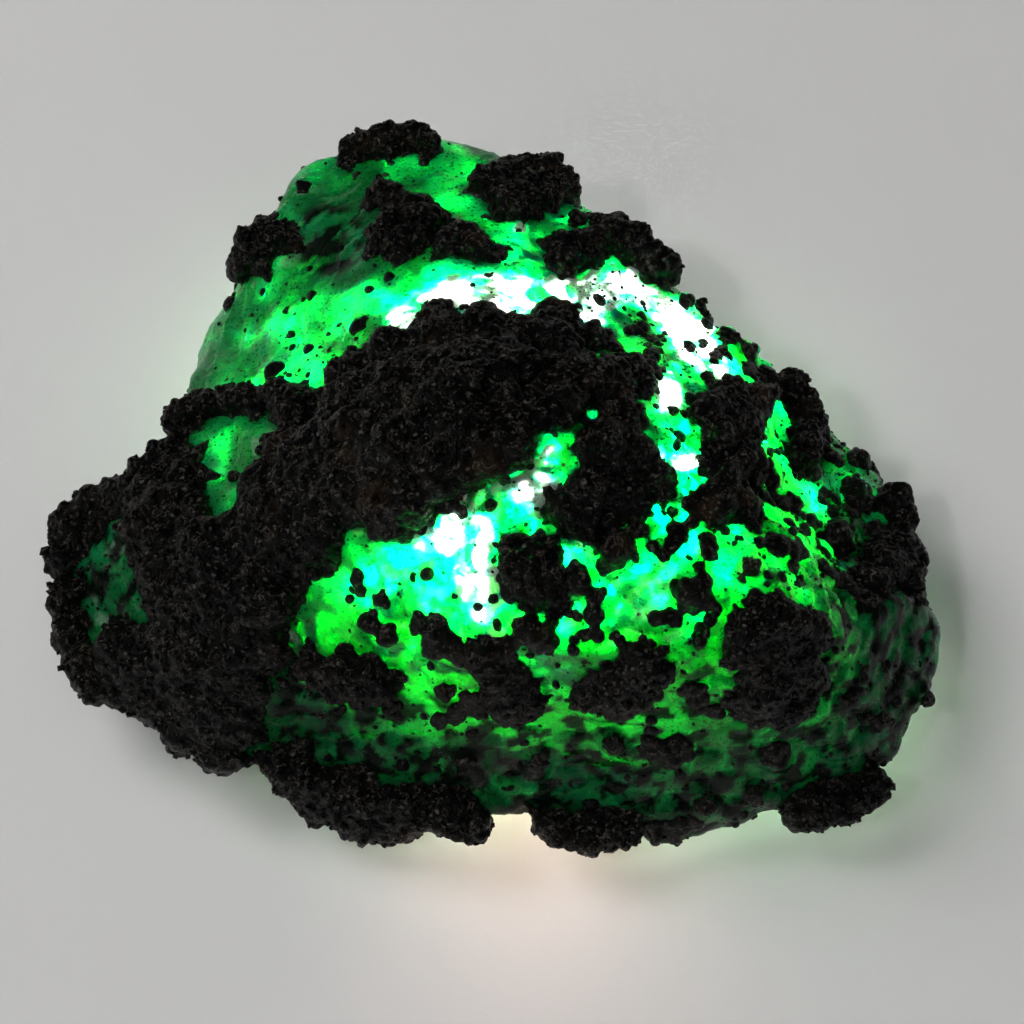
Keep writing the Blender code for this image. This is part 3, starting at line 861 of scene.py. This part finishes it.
    def relief(
        self,
        places: np.ndarray,
        seen: np.ndarray,
        plates: np.ndarray,
        cells: np.ndarray,
        hillocks: np.ndarray,
    ) -> tuple[np.ndarray, np.ndarray]:
        """The height of the skin's relief in millimetres, and how far each place is a crest.

        Args:
            places: The vertices.
            seen: Their survey points.
            plates: The share of smooth broken plates at each.
            cells: The share of etched cells at each.
            hillocks: The share of small hillocks at each.

        Returns:
            The heights and the crests.
        """
        roll = noise_field(places, 2.6)
        warp = noise_field(places, 3.4, 5.0)
        rough = noise_field(places, 0.55, 8.0)
        ridge = 1 - np.abs(noise_field(places, 1.25, 2.0)) * 2.4
        fine = 1 - np.abs(noise_field(places, 0.6, 6.0)) * 2.4
        away = np.hypot(*(seen - self.ledge_middle).T) * SURVEY.point
        phase = away / self.ledge_width + warp * 1.6
        ledge = phase - np.floor(phase)
        ripple = np.abs(np.sin(away / self.ripple_width * math.pi + warp * 9))
        middle, border = cell_fields(places, self.cell_size)
        small, _ = cell_fields(places, self.hillock_size)
        rest = np.clip(1 - plates - cells - hillocks, 0, 1)
        relief = 0.2 * roll + 0.03 * rough
        relief += plates * (0.16 * ledge + 0.035 * ripple)
        relief += cells * (0.3 * (1 - middle**2 * 1.6) - 0.1 * np.exp(-((border / 0.08) ** 2)))
        relief += hillocks * 0.3 * (1 - small**2 * 1.7)
        relief += rest * (0.16 * ridge + 0.08 * fine)
        crests = plates * smooth_step(ledge, 0.86, 0.98) * 0.7
        crests += cells * np.exp(-((border / 0.07) ** 2)) * smooth_step(warp, -0.3, 0.2)
        crests += (
            rest * smooth_step(ridge, 0.75, 0.98) * 0.6
            + hillocks * smooth_step(fine, 0.8, 1.0) * 0.4
        )
        return relief, crests

    def finish(self, material: bpy.types.Material) -> None:
        """Dresses the stone, in place of its solid."""
        self.shape.finish(material, "emerald", [self.node])


@dataclass
class SchistPatch:
    """One patch of crust: its solid, sunk a little, under grains that are grown together."""

    node: str
    grain_area: float = 0.13
    grain_radii: tuple[float, float] = (0.13, 0.46)
    sink: float = 0.12
    reach_down: float = 1.3
    bite: float = 0.18
    knob_size: float = 0.5
    mesh_size: float = 0.135
    shape: Shape = field(init=False)

    def build(self, solid: bpy.types.Object, stone: BVHTree, rng: np.random.Generator) -> None:
        """Makes the patch's shape.

        Args:
            solid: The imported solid.
            stone: The green stone's skin.
            rng: The source of its grains.
        """
        mesh = solid_copy(solid)
        bmesh.ops.triangulate(mesh, faces=mesh.faces)
        grains = self.grains(mesh, stone, rng)
        moves = []
        for vert in mesh.verts:
            hit = stone.ray_cast(vert.co, vert.normal, self.reach_down)
            moves.append(vert.normal * (hit[3] + self.bite if hit[0] else -self.sink))
        for vert, move in zip(mesh.verts, moves):
            vert.co += move
        grains.add_to(mesh, Form.GRAIN, 0.6, rng)
        self.shape = Shape(mesh, self.node.replace("crust", "schist"))
        self.shape.reshape("REMESH", mode="VOXEL", voxel_size=self.mesh_size)
        places = self.shape.places
        middle, _ = cell_fields(places, self.knob_size)
        relief = 0.12 * (1 - 2.4 * middle**2) + 0.06 * noise_field(places, 0.3, 4.0)
        self.shape.places = places + self.shape.normals * np.maximum(relief, -0.1)[:, None]
        self.shape.keep_above_table()

    def grains(
        self, mesh: bmesh.types.BMesh, stone: BVHTree, rng: np.random.Generator
    ) -> GrainBed:
        """The grains that sit on the outside of the solid.

        Args:
            mesh: The solid's mesh.
            stone: The green stone's skin.
            rng: The source of their places and sizes.

        Returns:
            The grains.
        """
        corners = np.array([[vert.co for vert in face.verts] for face in mesh.faces])
        outs = np.array([face.normal for face in mesh.faces])
        areas = np.array([face.calc_area() for face in mesh.faces])
        chosen = rng.choice(len(areas), int(areas.sum() / self.grain_area), p=areas / areas.sum())
        shares = np.sort(rng.random((len(chosen), 2)), 1)
        weights = np.stack((shares[:, 0], shares[:, 1] - shares[:, 0], 1 - shares[:, 1]), 1)
        places = (corners[chosen] * weights[:, :, None]).sum(1)
        free = [
            stone.ray_cast(Vector(place), Vector(out), self.reach_down)[0] is None
            for place, out in zip(places, outs[chosen])
        ]
        places, normals = places[free], outs[chosen][free]
        low, high = self.grain_radii
        return GrainBed(places, normals, low + (high - low) * rng.random(len(places)) ** 2.2)

    def finish(self, material: bpy.types.Material) -> None:
        """Dresses the patch, in place of its solid."""
        self.shape.finish(material, "mica_schist", [self.node])


@dataclass
class SchistLumps:
    """The single lumps of schist on the green, each a small cluster of grains."""

    lumps: tuple[Circle, ...] = (
        (358, 325, 10), (272, 370, 10), (578, 579, 15), (617, 550, 17), (528, 630, 14),
        (546, 640, 11), (435, 632, 13), (440, 650, 12), (460, 657, 10), (444, 693, 10),
        (597, 596, 9), (595, 617, 9), (693, 592, 18), (709, 548, 11), (780, 545, 14),
        (797, 550, 11), (795, 503, 11), (812, 522, 10), (855, 495, 15), (838, 540, 15),
        (822, 568, 10), (838, 582, 11), (862, 457, 10), (834, 458, 9), (813, 474, 9), (686, 300, 9),
        (578, 218, 10), (728, 336, 11), (748, 351, 11), (764, 372, 10), (675, 750, 14),
        (695, 693, 13), (775, 755, 13), (655, 618, 9), (380, 600, 9), (367, 622, 11),
        (385, 637, 12), (705, 806, 10), (755, 795, 10), (752, 566, 10), (772, 480, 9),
        (303, 186, 8), (930, 700, 10), (616, 748, 10), (540, 765, 10), (850, 700, 11),
        (880, 720, 11), (465, 765, 10), (654, 828, 13), (674, 828, 14), (694, 824, 12),
    )
    stains: tuple[Circle, ...] = (
        (748, 368, 7), (758, 376, 7), (768, 383, 8), (776, 390, 8), (772, 372, 7), (720, 352, 7),
        (716, 357, 6), (708, 377, 5), (690, 346, 5), (703, 344, 3), (790, 398, 10), (800, 405, 12),
        (808, 418, 12), (805, 430, 12), (795, 435, 8), (812, 436, 8), (796, 447, 6), (799, 460, 9),
        (800, 470, 8), (825, 443, 6), (820, 436, 5), (858, 457, 8), (867, 461, 6), (855, 462, 5),
        (887, 492, 5), (893, 505, 9), (900, 512, 10), (898, 525, 10), (900, 540, 8), (895, 532, 9),
        (853, 490, 11), (855, 505, 12), (866, 500, 8), (870, 508, 7), (823, 496, 6), (832, 511, 5),
        (765, 495, 5), (775, 500, 5), (785, 503, 6), (805, 530, 5), (835, 525, 8), (845, 545, 10),
        (842, 553, 7), (877, 530, 8), (880, 540, 9), (878, 548, 7), (885, 555, 15), (878, 570, 15),
        (865, 585, 12), (880, 590, 12), (895, 575, 12), (905, 565, 10), (860, 590, 10),
        (870, 598, 8), (855, 575, 8), (917, 590, 8), (922, 598, 7), (800, 553, 7), (770, 538, 5),
        (760, 542, 4), (835, 573, 6), (843, 582, 7), (793, 568, 5), (800, 582, 4), (768, 575, 3),
        (725, 531, 3), (708, 540, 5), (710, 556, 5), (757, 515, 6), (757, 525, 5), (740, 402, 10),
        (735, 410, 14), (748, 412, 10), (725, 415, 14), (712, 420, 10), (700, 417, 8),
        (693, 413, 6), (722, 428, 9), (745, 425, 8), (690, 400, 5), (712, 442, 8), (708, 455, 9),
        (715, 465, 10), (725, 475, 12), (735, 480, 10), (730, 465, 8), (742, 462, 9), (752, 462, 7),
        (757, 468, 5), (705, 470, 7), (722, 487, 9), (750, 452, 3), (760, 452, 3), (770, 453, 3),
        (780, 452, 3), (707, 495, 9), (697, 500, 7), (688, 503, 6), (700, 510, 8), (712, 513, 9),
        (722, 518, 8), (735, 515, 9), (742, 508, 8), (745, 497, 5), (690, 525, 5), (683, 535, 6),
        (693, 590, 14), (700, 600, 12), (688, 605, 10), (705, 583, 8), (700, 567, 5), (755, 600, 9),
        (765, 608, 12), (778, 612, 14), (790, 618, 10), (750, 633, 13), (732, 630, 7),
        (765, 628, 12), (805, 640, 9), (590, 500, 13), (602, 518, 12), (610, 492, 12),
        (625, 495, 10), (580, 522, 11), (568, 508, 9), (565, 532, 7), (596, 478, 14),
        (620, 475, 10), (648, 497, 7), (665, 482, 9), (613, 538, 10), (613, 552, 12), (606, 565, 8),
        (625, 545, 8), (634, 532, 6), (672, 512, 4), (675, 530, 8), (672, 545, 6), (664, 555, 5),
        (653, 547, 4), (643, 530, 4), (577, 574, 10), (582, 588, 8), (568, 582, 7), (556, 590, 5),
        (562, 598, 4), (548, 607, 3), (594, 600, 6), (592, 615, 7), (554, 622, 4), (570, 614, 3),
        (584, 635, 5), (598, 636, 5), (574, 650, 4), (655, 617, 6), (669, 611, 3), (675, 620, 6),
        (710, 620, 5), (717, 608, 3), (705, 635, 3), (650, 646, 4), (530, 622, 10), (545, 636, 10),
        (520, 626, 7), (538, 645, 8), (553, 640, 6), (516, 643, 5), (512, 657, 4), (483, 643, 6),
        (478, 607, 3), (493, 599, 3), (357, 577, 6), (362, 592, 4), (418, 616, 4), (415, 627, 5),
        (437, 622, 8), (438, 632, 9), (430, 646, 9), (445, 650, 10), (460, 650, 8), (460, 658, 8),
        (450, 640, 7), (394, 706, 6), (620, 640, 4), (495, 655, 14), (485, 645, 8), (470, 700, 10),
        (480, 708, 10), (455, 715, 9), (440, 720, 7), (505, 700, 14), (605, 240, 11), (598, 232, 8),
        (602, 252, 8), (595, 262, 6), (578, 220, 9), (562, 250, 10), (570, 262, 12), (562, 272, 9),
        (555, 240, 7), (645, 665, 13), (660, 672, 10), (625, 680, 13), (672, 745, 10),
        (668, 760, 10), (685, 755, 8), (650, 750, 11), (778, 755, 12), (700, 705, 9), (715, 712, 7),
        (785, 665, 20), (765, 690, 16), (790, 698, 12), (770, 715, 9), (655, 345, 10),
        (650, 360, 9), (660, 372, 6), (640, 330, 9), (600, 690, 14), (610, 702, 12), (440, 505, 8),
        (425, 515, 9), (410, 525, 6), (452, 505, 6), (462, 512, 5), (395, 535, 5), (420, 528, 5),
        (490, 505, 4), (520, 545, 14), (530, 560, 14), (510, 560, 10), (545, 570, 10),
        (510, 580, 10), (525, 590, 9), (510, 595, 8), (540, 585, 8), (505, 545, 7), (540, 540, 8),
        (548, 553, 6),
    )
    grains_each: int = 26
    mesh_size: float = 0.11
    shape: Shape = field(init=False)

    def build(self, stone: BVHTree, rng: np.random.Generator) -> None:
        """Makes the lumps on the stone's skin.

        Args:
            stone: The green stone's skin.
            rng: The source of their grains.
        """
        rows = []
        for x, y, radius in self.lumps:
            place, _, _, _ = stone.ray_cast(SURVEY.eye, SURVEY.sight(x, y))
            if place is None:
                continue
            size = radius * SURVEY.point
            for arm in rng.normal(size=(self.grains_each, 3)):
                reach = Vector(arm).normalized() * size * rng.uniform(0.2, 1.0)
                near, normal, _, _ = stone.find_nearest(place + reach)
                rows.append((*near, *normal, size * rng.uniform(0.25, 0.5)))
        rows.extend(self.stain_rows(stone, rng))
        table = np.array(rows)
        bed = GrainBed(table[:, :3], table[:, 3:6], table[:, 6])
        self.shape = Shape(bed.balls(Form.GRAIN, 0.15, rng), "schist_lumps")
        self.shape.reshape("REMESH", mode="VOXEL", voxel_size=self.mesh_size)
        self.shape.keep_above_table()

    def stain_rows(self, stone: BVHTree, rng: np.random.Generator) -> list[tuple[float, ...]]:
        """Grains of the flat ragged stains.

        Args:
            stone: The green stone's skin.
            rng: The source of their places and sizes.

        Returns:
            The place, the way out and the radius of each.
        """
        rows = []
        for x, y, radius in self.stains:
            for _ in range(int(8 + radius * 2.4)):
                turn, arm = rng.uniform(0, math.tau), radius * math.sqrt(rng.random())
                sight = SURVEY.sight(x + arm * math.cos(turn), y + arm * math.sin(turn))
                place, normal, _, _ = stone.ray_cast(SURVEY.eye, sight)
                if place is not None:
                    size = rng.uniform(0.1, 0.2) + 0.008 * radius * rng.random()
                    rows.append((*place, *normal, size))
        return rows

    def finish(self, material: bpy.types.Material) -> None:
        """Dresses the lumps."""
        self.shape.finish(material, "mica_schist")


@dataclass
class SchistCrumbs:
    """Fine angular crumbs and flakes on the crust, too small to round off."""

    crumbs: int = 7000
    radii: tuple[float, float] = (0.06, 0.24)
    shape: Shape = field(init=False)

    def build(self, patches: Iterable[SchistPatch], rng: np.random.Generator) -> None:
        """Makes the crumbs on the patches' skins.

        Args:
            patches: The patches, which are built.
            rng: The source of places and sizes.
        """
        places = np.concatenate([patch.shape.places for patch in patches])
        normals = np.concatenate([patch.shape.normals for patch in patches])
        seen = np.exp(2.2 * normals @ np.array(SURVEY.toward))
        chosen = rng.choice(len(places), self.crumbs, p=seen / seen.sum())
        low, high = self.radii
        radii = low + (high - low) * rng.random(self.crumbs) ** 1.8
        bed = GrainBed(places[chosen], normals[chosen], radii)
        self.shape = Shape(bed.balls(Form.SPECK, 0.1, rng, 0.25), "schist_crumbs")
        self.shape.keep_above_table()

    def finish(self, material: bpy.types.Material) -> None:
        """Dresses the crumbs, whose faces stay flat."""
        self.shape.finish(material, "mica_schist", smooth=False)


@dataclass
class SchistGrains:
    """Loose grains and specks of schist and mica that stick to the green."""

    placed: tuple[Circle, ...] = (
        (303, 184, 4), (297, 205, 2), (310, 269, 3), (263, 293, 5), (278, 303, 2), (245, 330, 2),
        (290, 335, 5), (358, 325, 9), (272, 370, 9), (496, 625, 6), (418, 617, 4), (415, 630, 6),
        (444, 693, 7), (558, 598, 5), (597, 595, 5), (595, 617, 6), (580, 635, 5), (655, 617, 5),
        (614, 635, 6), (575, 612, 4), (352, 590, 5), (380, 600, 4), (367, 622, 8), (385, 635, 9),
        (737, 538, 4), (862, 457, 8), (834, 457, 4), (813, 472, 3), (824, 495, 5), (830, 512, 5),
        (770, 478, 4), (752, 565, 6), (795, 570, 4), (682, 672, 4),
    )
    crowds: tuple[tuple[float, float, float, float], ...] = (
        (830, 480, 80, 1.0), (760, 570, 90, 0.8), (700, 470, 60, 0.6), (620, 330, 60, 0.8),
        (700, 380, 60, 0.5), (740, 660, 90, 0.7), (860, 540, 70, 0.9), (560, 610, 80, 0.45),
        (430, 630, 90, 0.35), (330, 385, 60, 1.0), (300, 330, 80, 0.2), (350, 190, 80, 0.12),
        (500, 270, 70, 0.25), (600, 760, 150, 0.5), (860, 700, 80, 0.5), (330, 700, 80, 0.6),
        (240, 440, 60, 0.3), (100, 580, 60, 0.5), (440, 720, 80, 0.5), (590, 230, 60, 0.5),
    )
    grains: int = 1500
    grain_radii: tuple[float, float] = (0.1, 0.36)
    specks: int = 4500
    speck_radii: tuple[float, float] = (0.035, 0.11)
    crust_reach: float = 0.9
    shape: Shape = field(init=False)
    speck_shape: Shape = field(init=False)

    def build(
        self, stone: Shape, skin: BVHTree, near_crust: np.ndarray, rng: np.random.Generator
    ) -> None:
        """Makes the grains and the specks on the stone's skin.

        Args:
            stone: The green stone.
            skin: Its skin.
            near_crust: How far each of its vertices is from the crust, which grains crowd around.
            rng: The source of places and sizes.
        """
        places, normals = stone.places, stone.normals
        crowd = self.crowd(places, normals, near_crust)
        rows = []
        for x, y, radius in self.placed:
            place, normal, _, _ = skin.ray_cast(SURVEY.eye, SURVEY.sight(x, y))
            if place:
                rows.append((*place, *normal, radius * SURVEY.point))
        table = np.array(rows)
        coarse = self.scatter(places, normals, crowd, self.grains, self.grain_radii, rng)
        coarse = GrainBed(
            np.concatenate((table[:, :3], coarse.places)),
            np.concatenate((table[:, 3:6], coarse.normals)),
            np.concatenate((table[:, 6], coarse.radii)),
        )
        fine = self.scatter(places, normals, crowd**0.7, self.specks, self.speck_radii, rng)
        self.shape = Shape(coarse.balls(Form.GRAIN, 0.25, rng), "schist_grains")
        self.speck_shape = Shape(fine.balls(Form.SPECK, 0.2, rng), "schist_specks")
        self.shape.keep_above_table()
        self.speck_shape.keep_above_table()

    def crowd(self, places: np.ndarray, normals: np.ndarray, near_crust: np.ndarray) -> np.ndarray:
        """How thickly grains lie on the stone.

        Args:
            places: The stone's vertices.
            normals: Their normals.
            near_crust: How far each is from the crust.

        Returns:
            A share from 0 to 1 for each vertex.
        """
        seen = SURVEY.seen(places)
        facing = smooth_step(normals @ np.array(SURVEY.toward), -0.1, 0.2)
        total = np.full(len(places), 0.04)
        for x, y, reach, weight in self.crowds:
            away = ((seen - (x, y)) ** 2).sum(1) / reach**2
            total = np.maximum(total, weight * np.exp(-away))
        total = facing * total + (1 - facing) * 0.3
        total = np.maximum(total, 0.9 * np.exp(-((near_crust / self.crust_reach) ** 2)))
        clumps = smooth_step(noise_field(places, 1.6, 9.0), -0.35, 0.4)
        return np.clip(total * (0.25 + clumps), 0, 1)

    def scatter(
        self,
        places: np.ndarray,
        normals: np.ndarray,
        crowd: np.ndarray,
        count: int,
        radii: tuple[float, float],
        rng: np.random.Generator,
    ) -> GrainBed:
        """Grains at random places, more where they crowd.

        Args:
            places: The stone's vertices.
            normals: Their normals.
            crowd: How thickly grains lie at each.
            count: How many grains.
            radii: The smallest and the largest, in millimetres.
            rng: The source of places and sizes.

        Returns:
            The grains.
        """
        chosen = rng.choice(len(places), count, p=crowd / crowd.sum())
        low, high = radii
        sizes = low + (high - low) * rng.random(count) ** 2.2
        return GrainBed(places[chosen], normals[chosen], sizes)

    def finish(self, material: bpy.types.Material) -> None:
        """Dresses the grains and the specks."""
        self.shape.finish(material, "mica_schist")
        self.speck_shape.finish(material, "mica_schist")


@dataclass
class Studio:
    """The paper, the lamp under the stone, soft light from above and the camera.

    Each patch of the lamp has its place, its sides in millimetres and how strongly it shines. The
    glows show through the stone, and the cores only light it.
    """

    paper: bpy.types.Object = field(init=False)
    paper_side: float = 1.6
    glows: tuple[tuple[float, float, float, float, float], ...] = (
        (10.5, 2.0, 4.0, 9.0, 200), (-3.5, -6.5, 8.0, 6.0, 200), (4.5, -8.0, 9.0, 5.0, 250),
        (1.5, -3.5, 4.0, 3.0, 200), (13.0, -3.0, 6.0, 7.0, 80), (-5.0, 13.0, 8.0, 4.0, 60),
    )
    cores: tuple[tuple[float, float, float, float, float], ...] = (
        (3.0, 1.0, 13.0, 12.0, 560), (9.5, -3.5, 10.0, 9.0, 3000), (-4.0, 10.5, 9.0, 8.0, 1500),
        (-8.0, 3.0, 7.0, 7.0, 450), (4.0, -7.0, 14.0, 6.0, 5500),
    )
    lamp_height: float = 0.5
    lamp_tint: str = "#fff4ea"
    leak_place: Triple = (1.4, -6.0, 2.2)
    leak_aim: Triple = (0.06, -1.0, -0.15)
    leak_sides: tuple[float, float] = (6.0, 3.0)
    leak_spread: float = math.radians(70)
    leak_power: float = 0.0014
    leak_tint: str = "#ffd9c8"
    sky_power: float = 0.165
    sky_tint: str = "#f2f4f7"
    window_place: Triple = (-290.0, 90.0, 430.0)
    window_power: float = 1.6
    fill_place: Triple = (300.0, -200.0, 420.0)
    fill_power: float = 0.05
    soft_side: float = 300.0
    glint_place: Triple = (-120.0, -160.0, 330.0)
    glint_power: float = 0.12
    glint_side: float = 36.0

    def build(self, stone: bpy.types.Object) -> None:
        """Sets the studio up round the stone.

        Args:
            stone: The emerald, which the lamp under it shines into.
        """
        self.lay_paper()
        self.light_through(stone)
        self.light_above()
        self.set_camera()

    def lay_paper(self) -> None:
        """Lays the paper on the table."""
        mesh = bmesh.new()
        bmesh.ops.create_grid(mesh, x_segments=1, y_segments=1, size=self.paper_side / 2)
        data = bpy.data.meshes.new("paper")
        mesh.to_mesh(data)
        mesh.free()
        data.materials.append(DrawingPaper().make())
        self.paper = bpy.data.objects.new("paper", data)
        bpy.context.scene.collection.objects.link(self.paper)

    def area_light(
        self,
        name: str,
        place: Iterable[float],
        aim: Iterable[float],
        size: tuple[float, float],
        power: float,
        colour: str,
    ) -> bpy.types.Object:
        """Adds a soft light.

        Args:
            name: Its name.
            place: Where it is, in millimetres.
            aim: The direction that it shines in.
            size: Its sides in millimetres.
            power: Its power in watts.
            colour: Its sRGB colour.

        Returns:
            The light's object.
        """
        light = bpy.data.lights.new(name, "AREA")
        light.shape = "ELLIPSE"
        light.size, light.size_y = size[0] * MM, size[1] * MM
        light.energy = power
        light.color = linear(colour)[:3]
        made = bpy.data.objects.new(name, light)
        made.location = Vector(place) * MM
        made.rotation_mode = "QUATERNION"
        made.rotation_quaternion = Vector(aim).to_track_quat("-Z", "Y")
        made.visible_camera = False
        bpy.context.scene.collection.objects.link(made)
        return made

    def keep_to(self, lamp: bpy.types.Object, lit: bpy.types.Object) -> None:
        """Lets a lamp's light reach one object alone, with nothing else in its way.

        Args:
            lamp: The light's object.
            lit: What it lights.
        """
        name = f"{lit.name}_only"
        group = bpy.data.collections.get(name)
        if group is None:
            group = bpy.data.collections.new(name)
            group.objects.link(lit)
        lamp.light_linking.receiver_collection = group
        lamp.light_linking.blocker_collection = group

    def light_through(self, stone: bpy.types.Object) -> None:
        """Puts the lamp under the stone, whose light also falls on the paper in front of it.

        Args:
            stone: The emerald.
        """
        for name, lamps in (("glow", self.glows), ("core", self.cores)):
            for x, y, width, depth, radiance in lamps:
                place, sides = (x, y, self.lamp_height), (width, depth)
                power = radiance * math.pi * math.pi / 4 * width * depth * MM * MM
                lamp = self.area_light(name, place, (0, 0, 1), sides, power, self.lamp_tint)
                lamp.visible_transmission = name == "glow"
                self.keep_to(lamp, stone)
        leak = self.area_light(
            "leak", self.leak_place, self.leak_aim, self.leak_sides, self.leak_power, self.leak_tint
        )
        leak.data.spread = self.leak_spread
        leak.visible_glossy = leak.visible_transmission = False
        self.keep_to(leak, self.paper)

    def light_above(self) -> None:
        """Lights the stone and the paper softly, most from the left."""
        world = bpy.data.worlds.new("studio")
        world.use_nodes = True
        background = world.node_tree.nodes["Background"]
        background.inputs["Color"].default_value = linear(self.sky_tint)
        background.inputs["Strength"].default_value = self.sky_power
        world.cycles_visibility.glossy = False
        bpy.context.scene.world = world
        for name, place, side, power, tint in (
            ("window", self.window_place, self.soft_side, self.window_power, "#fbfaf8"),
            ("fill", self.fill_place, self.soft_side, self.fill_power, "#f4f7fb"),
            ("glint", self.glint_place, self.glint_side, self.glint_power, "#ffffff"),
        ):
            lamp = self.area_light(name, place, -Vector(place), (side, side), power, tint)
            lamp.visible_glossy = name == "glint"

    def set_camera(self) -> None:
        """Looks at the stone as the photograph does."""
        camera = bpy.data.cameras.new("eye")
        camera.lens = SURVEY.lens
        camera.sensor_width = SURVEY.sensor
        camera.clip_start, camera.clip_end = 0.01, 10
        made = bpy.data.objects.new("eye", camera)
        made.location = SURVEY.eye * MM
        made.rotation_mode = "QUATERNION"
        made.rotation_quaternion = SURVEY.toward.to_track_quat("Z", "Y")
        bpy.context.scene.collection.objects.link(made)
        bpy.context.scene.camera = made


def crust_skin(nodes: dict[str, bpy.types.Object], names: Iterable[str]) -> BVHTree:
    """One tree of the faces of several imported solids.

    Args:
        nodes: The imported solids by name.
        names: Which to take.

    Returns:
        The tree, in millimetres.
    """
    mesh = bmesh.new()
    for name in names:
        mesh.from_mesh(nodes[name].data)
    bmesh.ops.scale(mesh, vec=(1 / MM,) * 3, verts=mesh.verts)
    tree = BVHTree.FromBMesh(mesh)
    mesh.free()
    return tree


def main() -> None:
    """Builds the stone, its crust, its grains and the studio."""
    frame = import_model()
    logging.basicConfig(level=logging.INFO, format="%(name)s: %(message)s")
    nodes = frame["nodes"]
    patches = [SchistPatch(name) for name in sorted(nodes) if name.startswith("crust")]
    crust = crust_skin(nodes, [patch.node for patch in patches])
    rng = np.random.default_rng(SEED)
    stone = GreenStone()
    stone.build(nodes[stone.node], crust)
    skin = stone.shape.skin
    schist = MicaSchist().make()
    for patch in patches:
        if patch.node == LARGEST_PATCH:
            patch.mesh_size = LARGEST_MESH_SIZE
        patch.build(nodes[patch.node], skin, rng)
    crumbs = SchistCrumbs()
    crumbs.build(patches, rng)
    lumps = SchistLumps()
    lumps.build(skin, rng)
    lumps.finish(schist)
    crumbs.finish(schist)
    for patch in patches:
        patch.finish(schist)
    grains = SchistGrains()
    grains.build(stone.shape, skin, stone.near_crust, rng)
    grains.finish(schist)
    stone.finish(CloudyBeryl().make())
    Studio().build(stone.shape.made)
    bpy.context.scene.view_settings.view_transform = "Standard"


if __name__ == "__main__":
    main()
